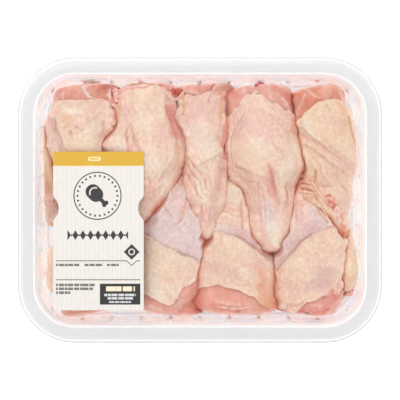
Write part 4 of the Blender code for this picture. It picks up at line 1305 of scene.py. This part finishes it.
EMBLEM = (-63.6, 2.6)
out_from_middle = from_point(*EMBLEM)
ring = inked(abs(out_from_middle - 14.6) - 0.34)
turn = start.maths("ARCTAN2", y - EMBLEM[1], x - EMBLEM[0])
beads = start.maths("COSINE", turn * 26.0).eased(0.25, 0.55) * inked(abs(out_from_middle - 12.4) - 0.62)
plump = from_line(-66.4, 5.2, -64.6, 3.4) - 4.6
shank = from_line(-64.0, 2.9, -59.4, -1.9) - 1.25
knobs = (from_point(-59.4, -3.1) - 1.35).smallest(from_point(-58.1, -1.7) - 1.35)
drumstick = inked(plump.smallest(shank).smallest(knobs))
gleam = inked(abs(from_point(-65.2, 4.4) - 3.2) - 0.4) * (x - y).eased(-70.9, -71.6)
emblem = any_of(ring, beads, drumstick - gleam)

ROW_MIDDLE = -21.8
DIAMOND_PITCH = 2.35
slant = start.maths("PINGPONG", x + 82.0, DIAMOND_PITCH) + abs(y - ROW_MIDDLE) * 0.62
diamonds = inked(slant - 1.9) * inked(bar(-82.2, -25.4, -44.6, -18.2))
small = start.maths("PINGPONG", x + 84.35, DIAMOND_PITCH) + abs(y - ROW_MIDDLE)
small_diamonds = inked(small - 0.75) * inked(bar(-82.0, -24.0, -45.0, -19.5))

SEAL = (-42.4, -32.2)
seal = (abs(x - SEAL[0]) + abs(y - SEAL[1])) * 0.71 - 3.5
seal_heart = inked(abs(from_point(*SEAL) - 1.7) - 0.35)
dark = any_of(emblem, diamonds, small_diamonds, inked(seal, 0.25) - seal_heart)

RULE_HALF = 0.27
rules = any_of(
    inked(bar(-89.4, -38.0, -45.6, -37.45)), inked(bar(-89.4, -49.75, -37.0, -49.2)),
    inked(from_line(-45.6, -37.7, -42.4, -40.6) - RULE_HALF),
    inked(from_line(-42.4, -40.6, -39.2, -37.7) - RULE_HALF), inked(bar(-39.2, -38.0, -37.0, -37.45))
)
# Each line of dashes: where it starts and ends, its middle, half its height, and how far apart the dashes are
SMALL_PRINT = (
    (-89.4, -74.6, -40.3, 0.75, 1.9), (-71.6, -60.6, -40.3, 0.75, 1.9), (-57.8, -50.4, -40.3, 0.75, 1.9),
    (-89.4, -64.8, -52.7, 0.8, 1.9), (-89.4, -66.4, -55.1, 0.8, 1.9), (-89.4, -80.4, -57.5, 0.8, 1.9),
)
PANEL_PRINT = (
    (-59.4, -39.8, -58.9, 0.75, 2.1), (-57.6, -41.6, -61.0, 0.75, 2.1), (-56.4, -42.8, -63.3, 0.55, 1.7),
)
small_print = any_of(*(dashes(*line) for line in SMALL_PRINT))
panel = inked(bar(-62.1, -64.9, -37.0, -51.9))
bars = dashes(-58.9, -40.4, -55.1, 1.5, 3.4)
fine_bars = any_of(*(dashes(*line) for line in PANEL_PRINT))

ground = (small_print * 0.85).colours(ground, rgb(74, 70, 66))
ground = (rules * 0.9).colours(ground, rgb(74, 68, 64))
ground = dark.colours(ground, fibre.colours(rgb(36, 34, 34), rgb(62, 60, 60)))
ground = panel.colours(ground, fibre.colours(rgb(34, 34, 34), rgb(50, 50, 50)))
ground = bars.colours(ground, rgb(246, 231, 200))
ground = (fine_bars * 0.85).colours(ground, rgb(228, 228, 228))
plug(ground, shader, "Base Color")
plug_bump(start, shader, 0.2, 0.0001, stripes)
label.data.materials.append(paper)
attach(label, "root")
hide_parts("label")
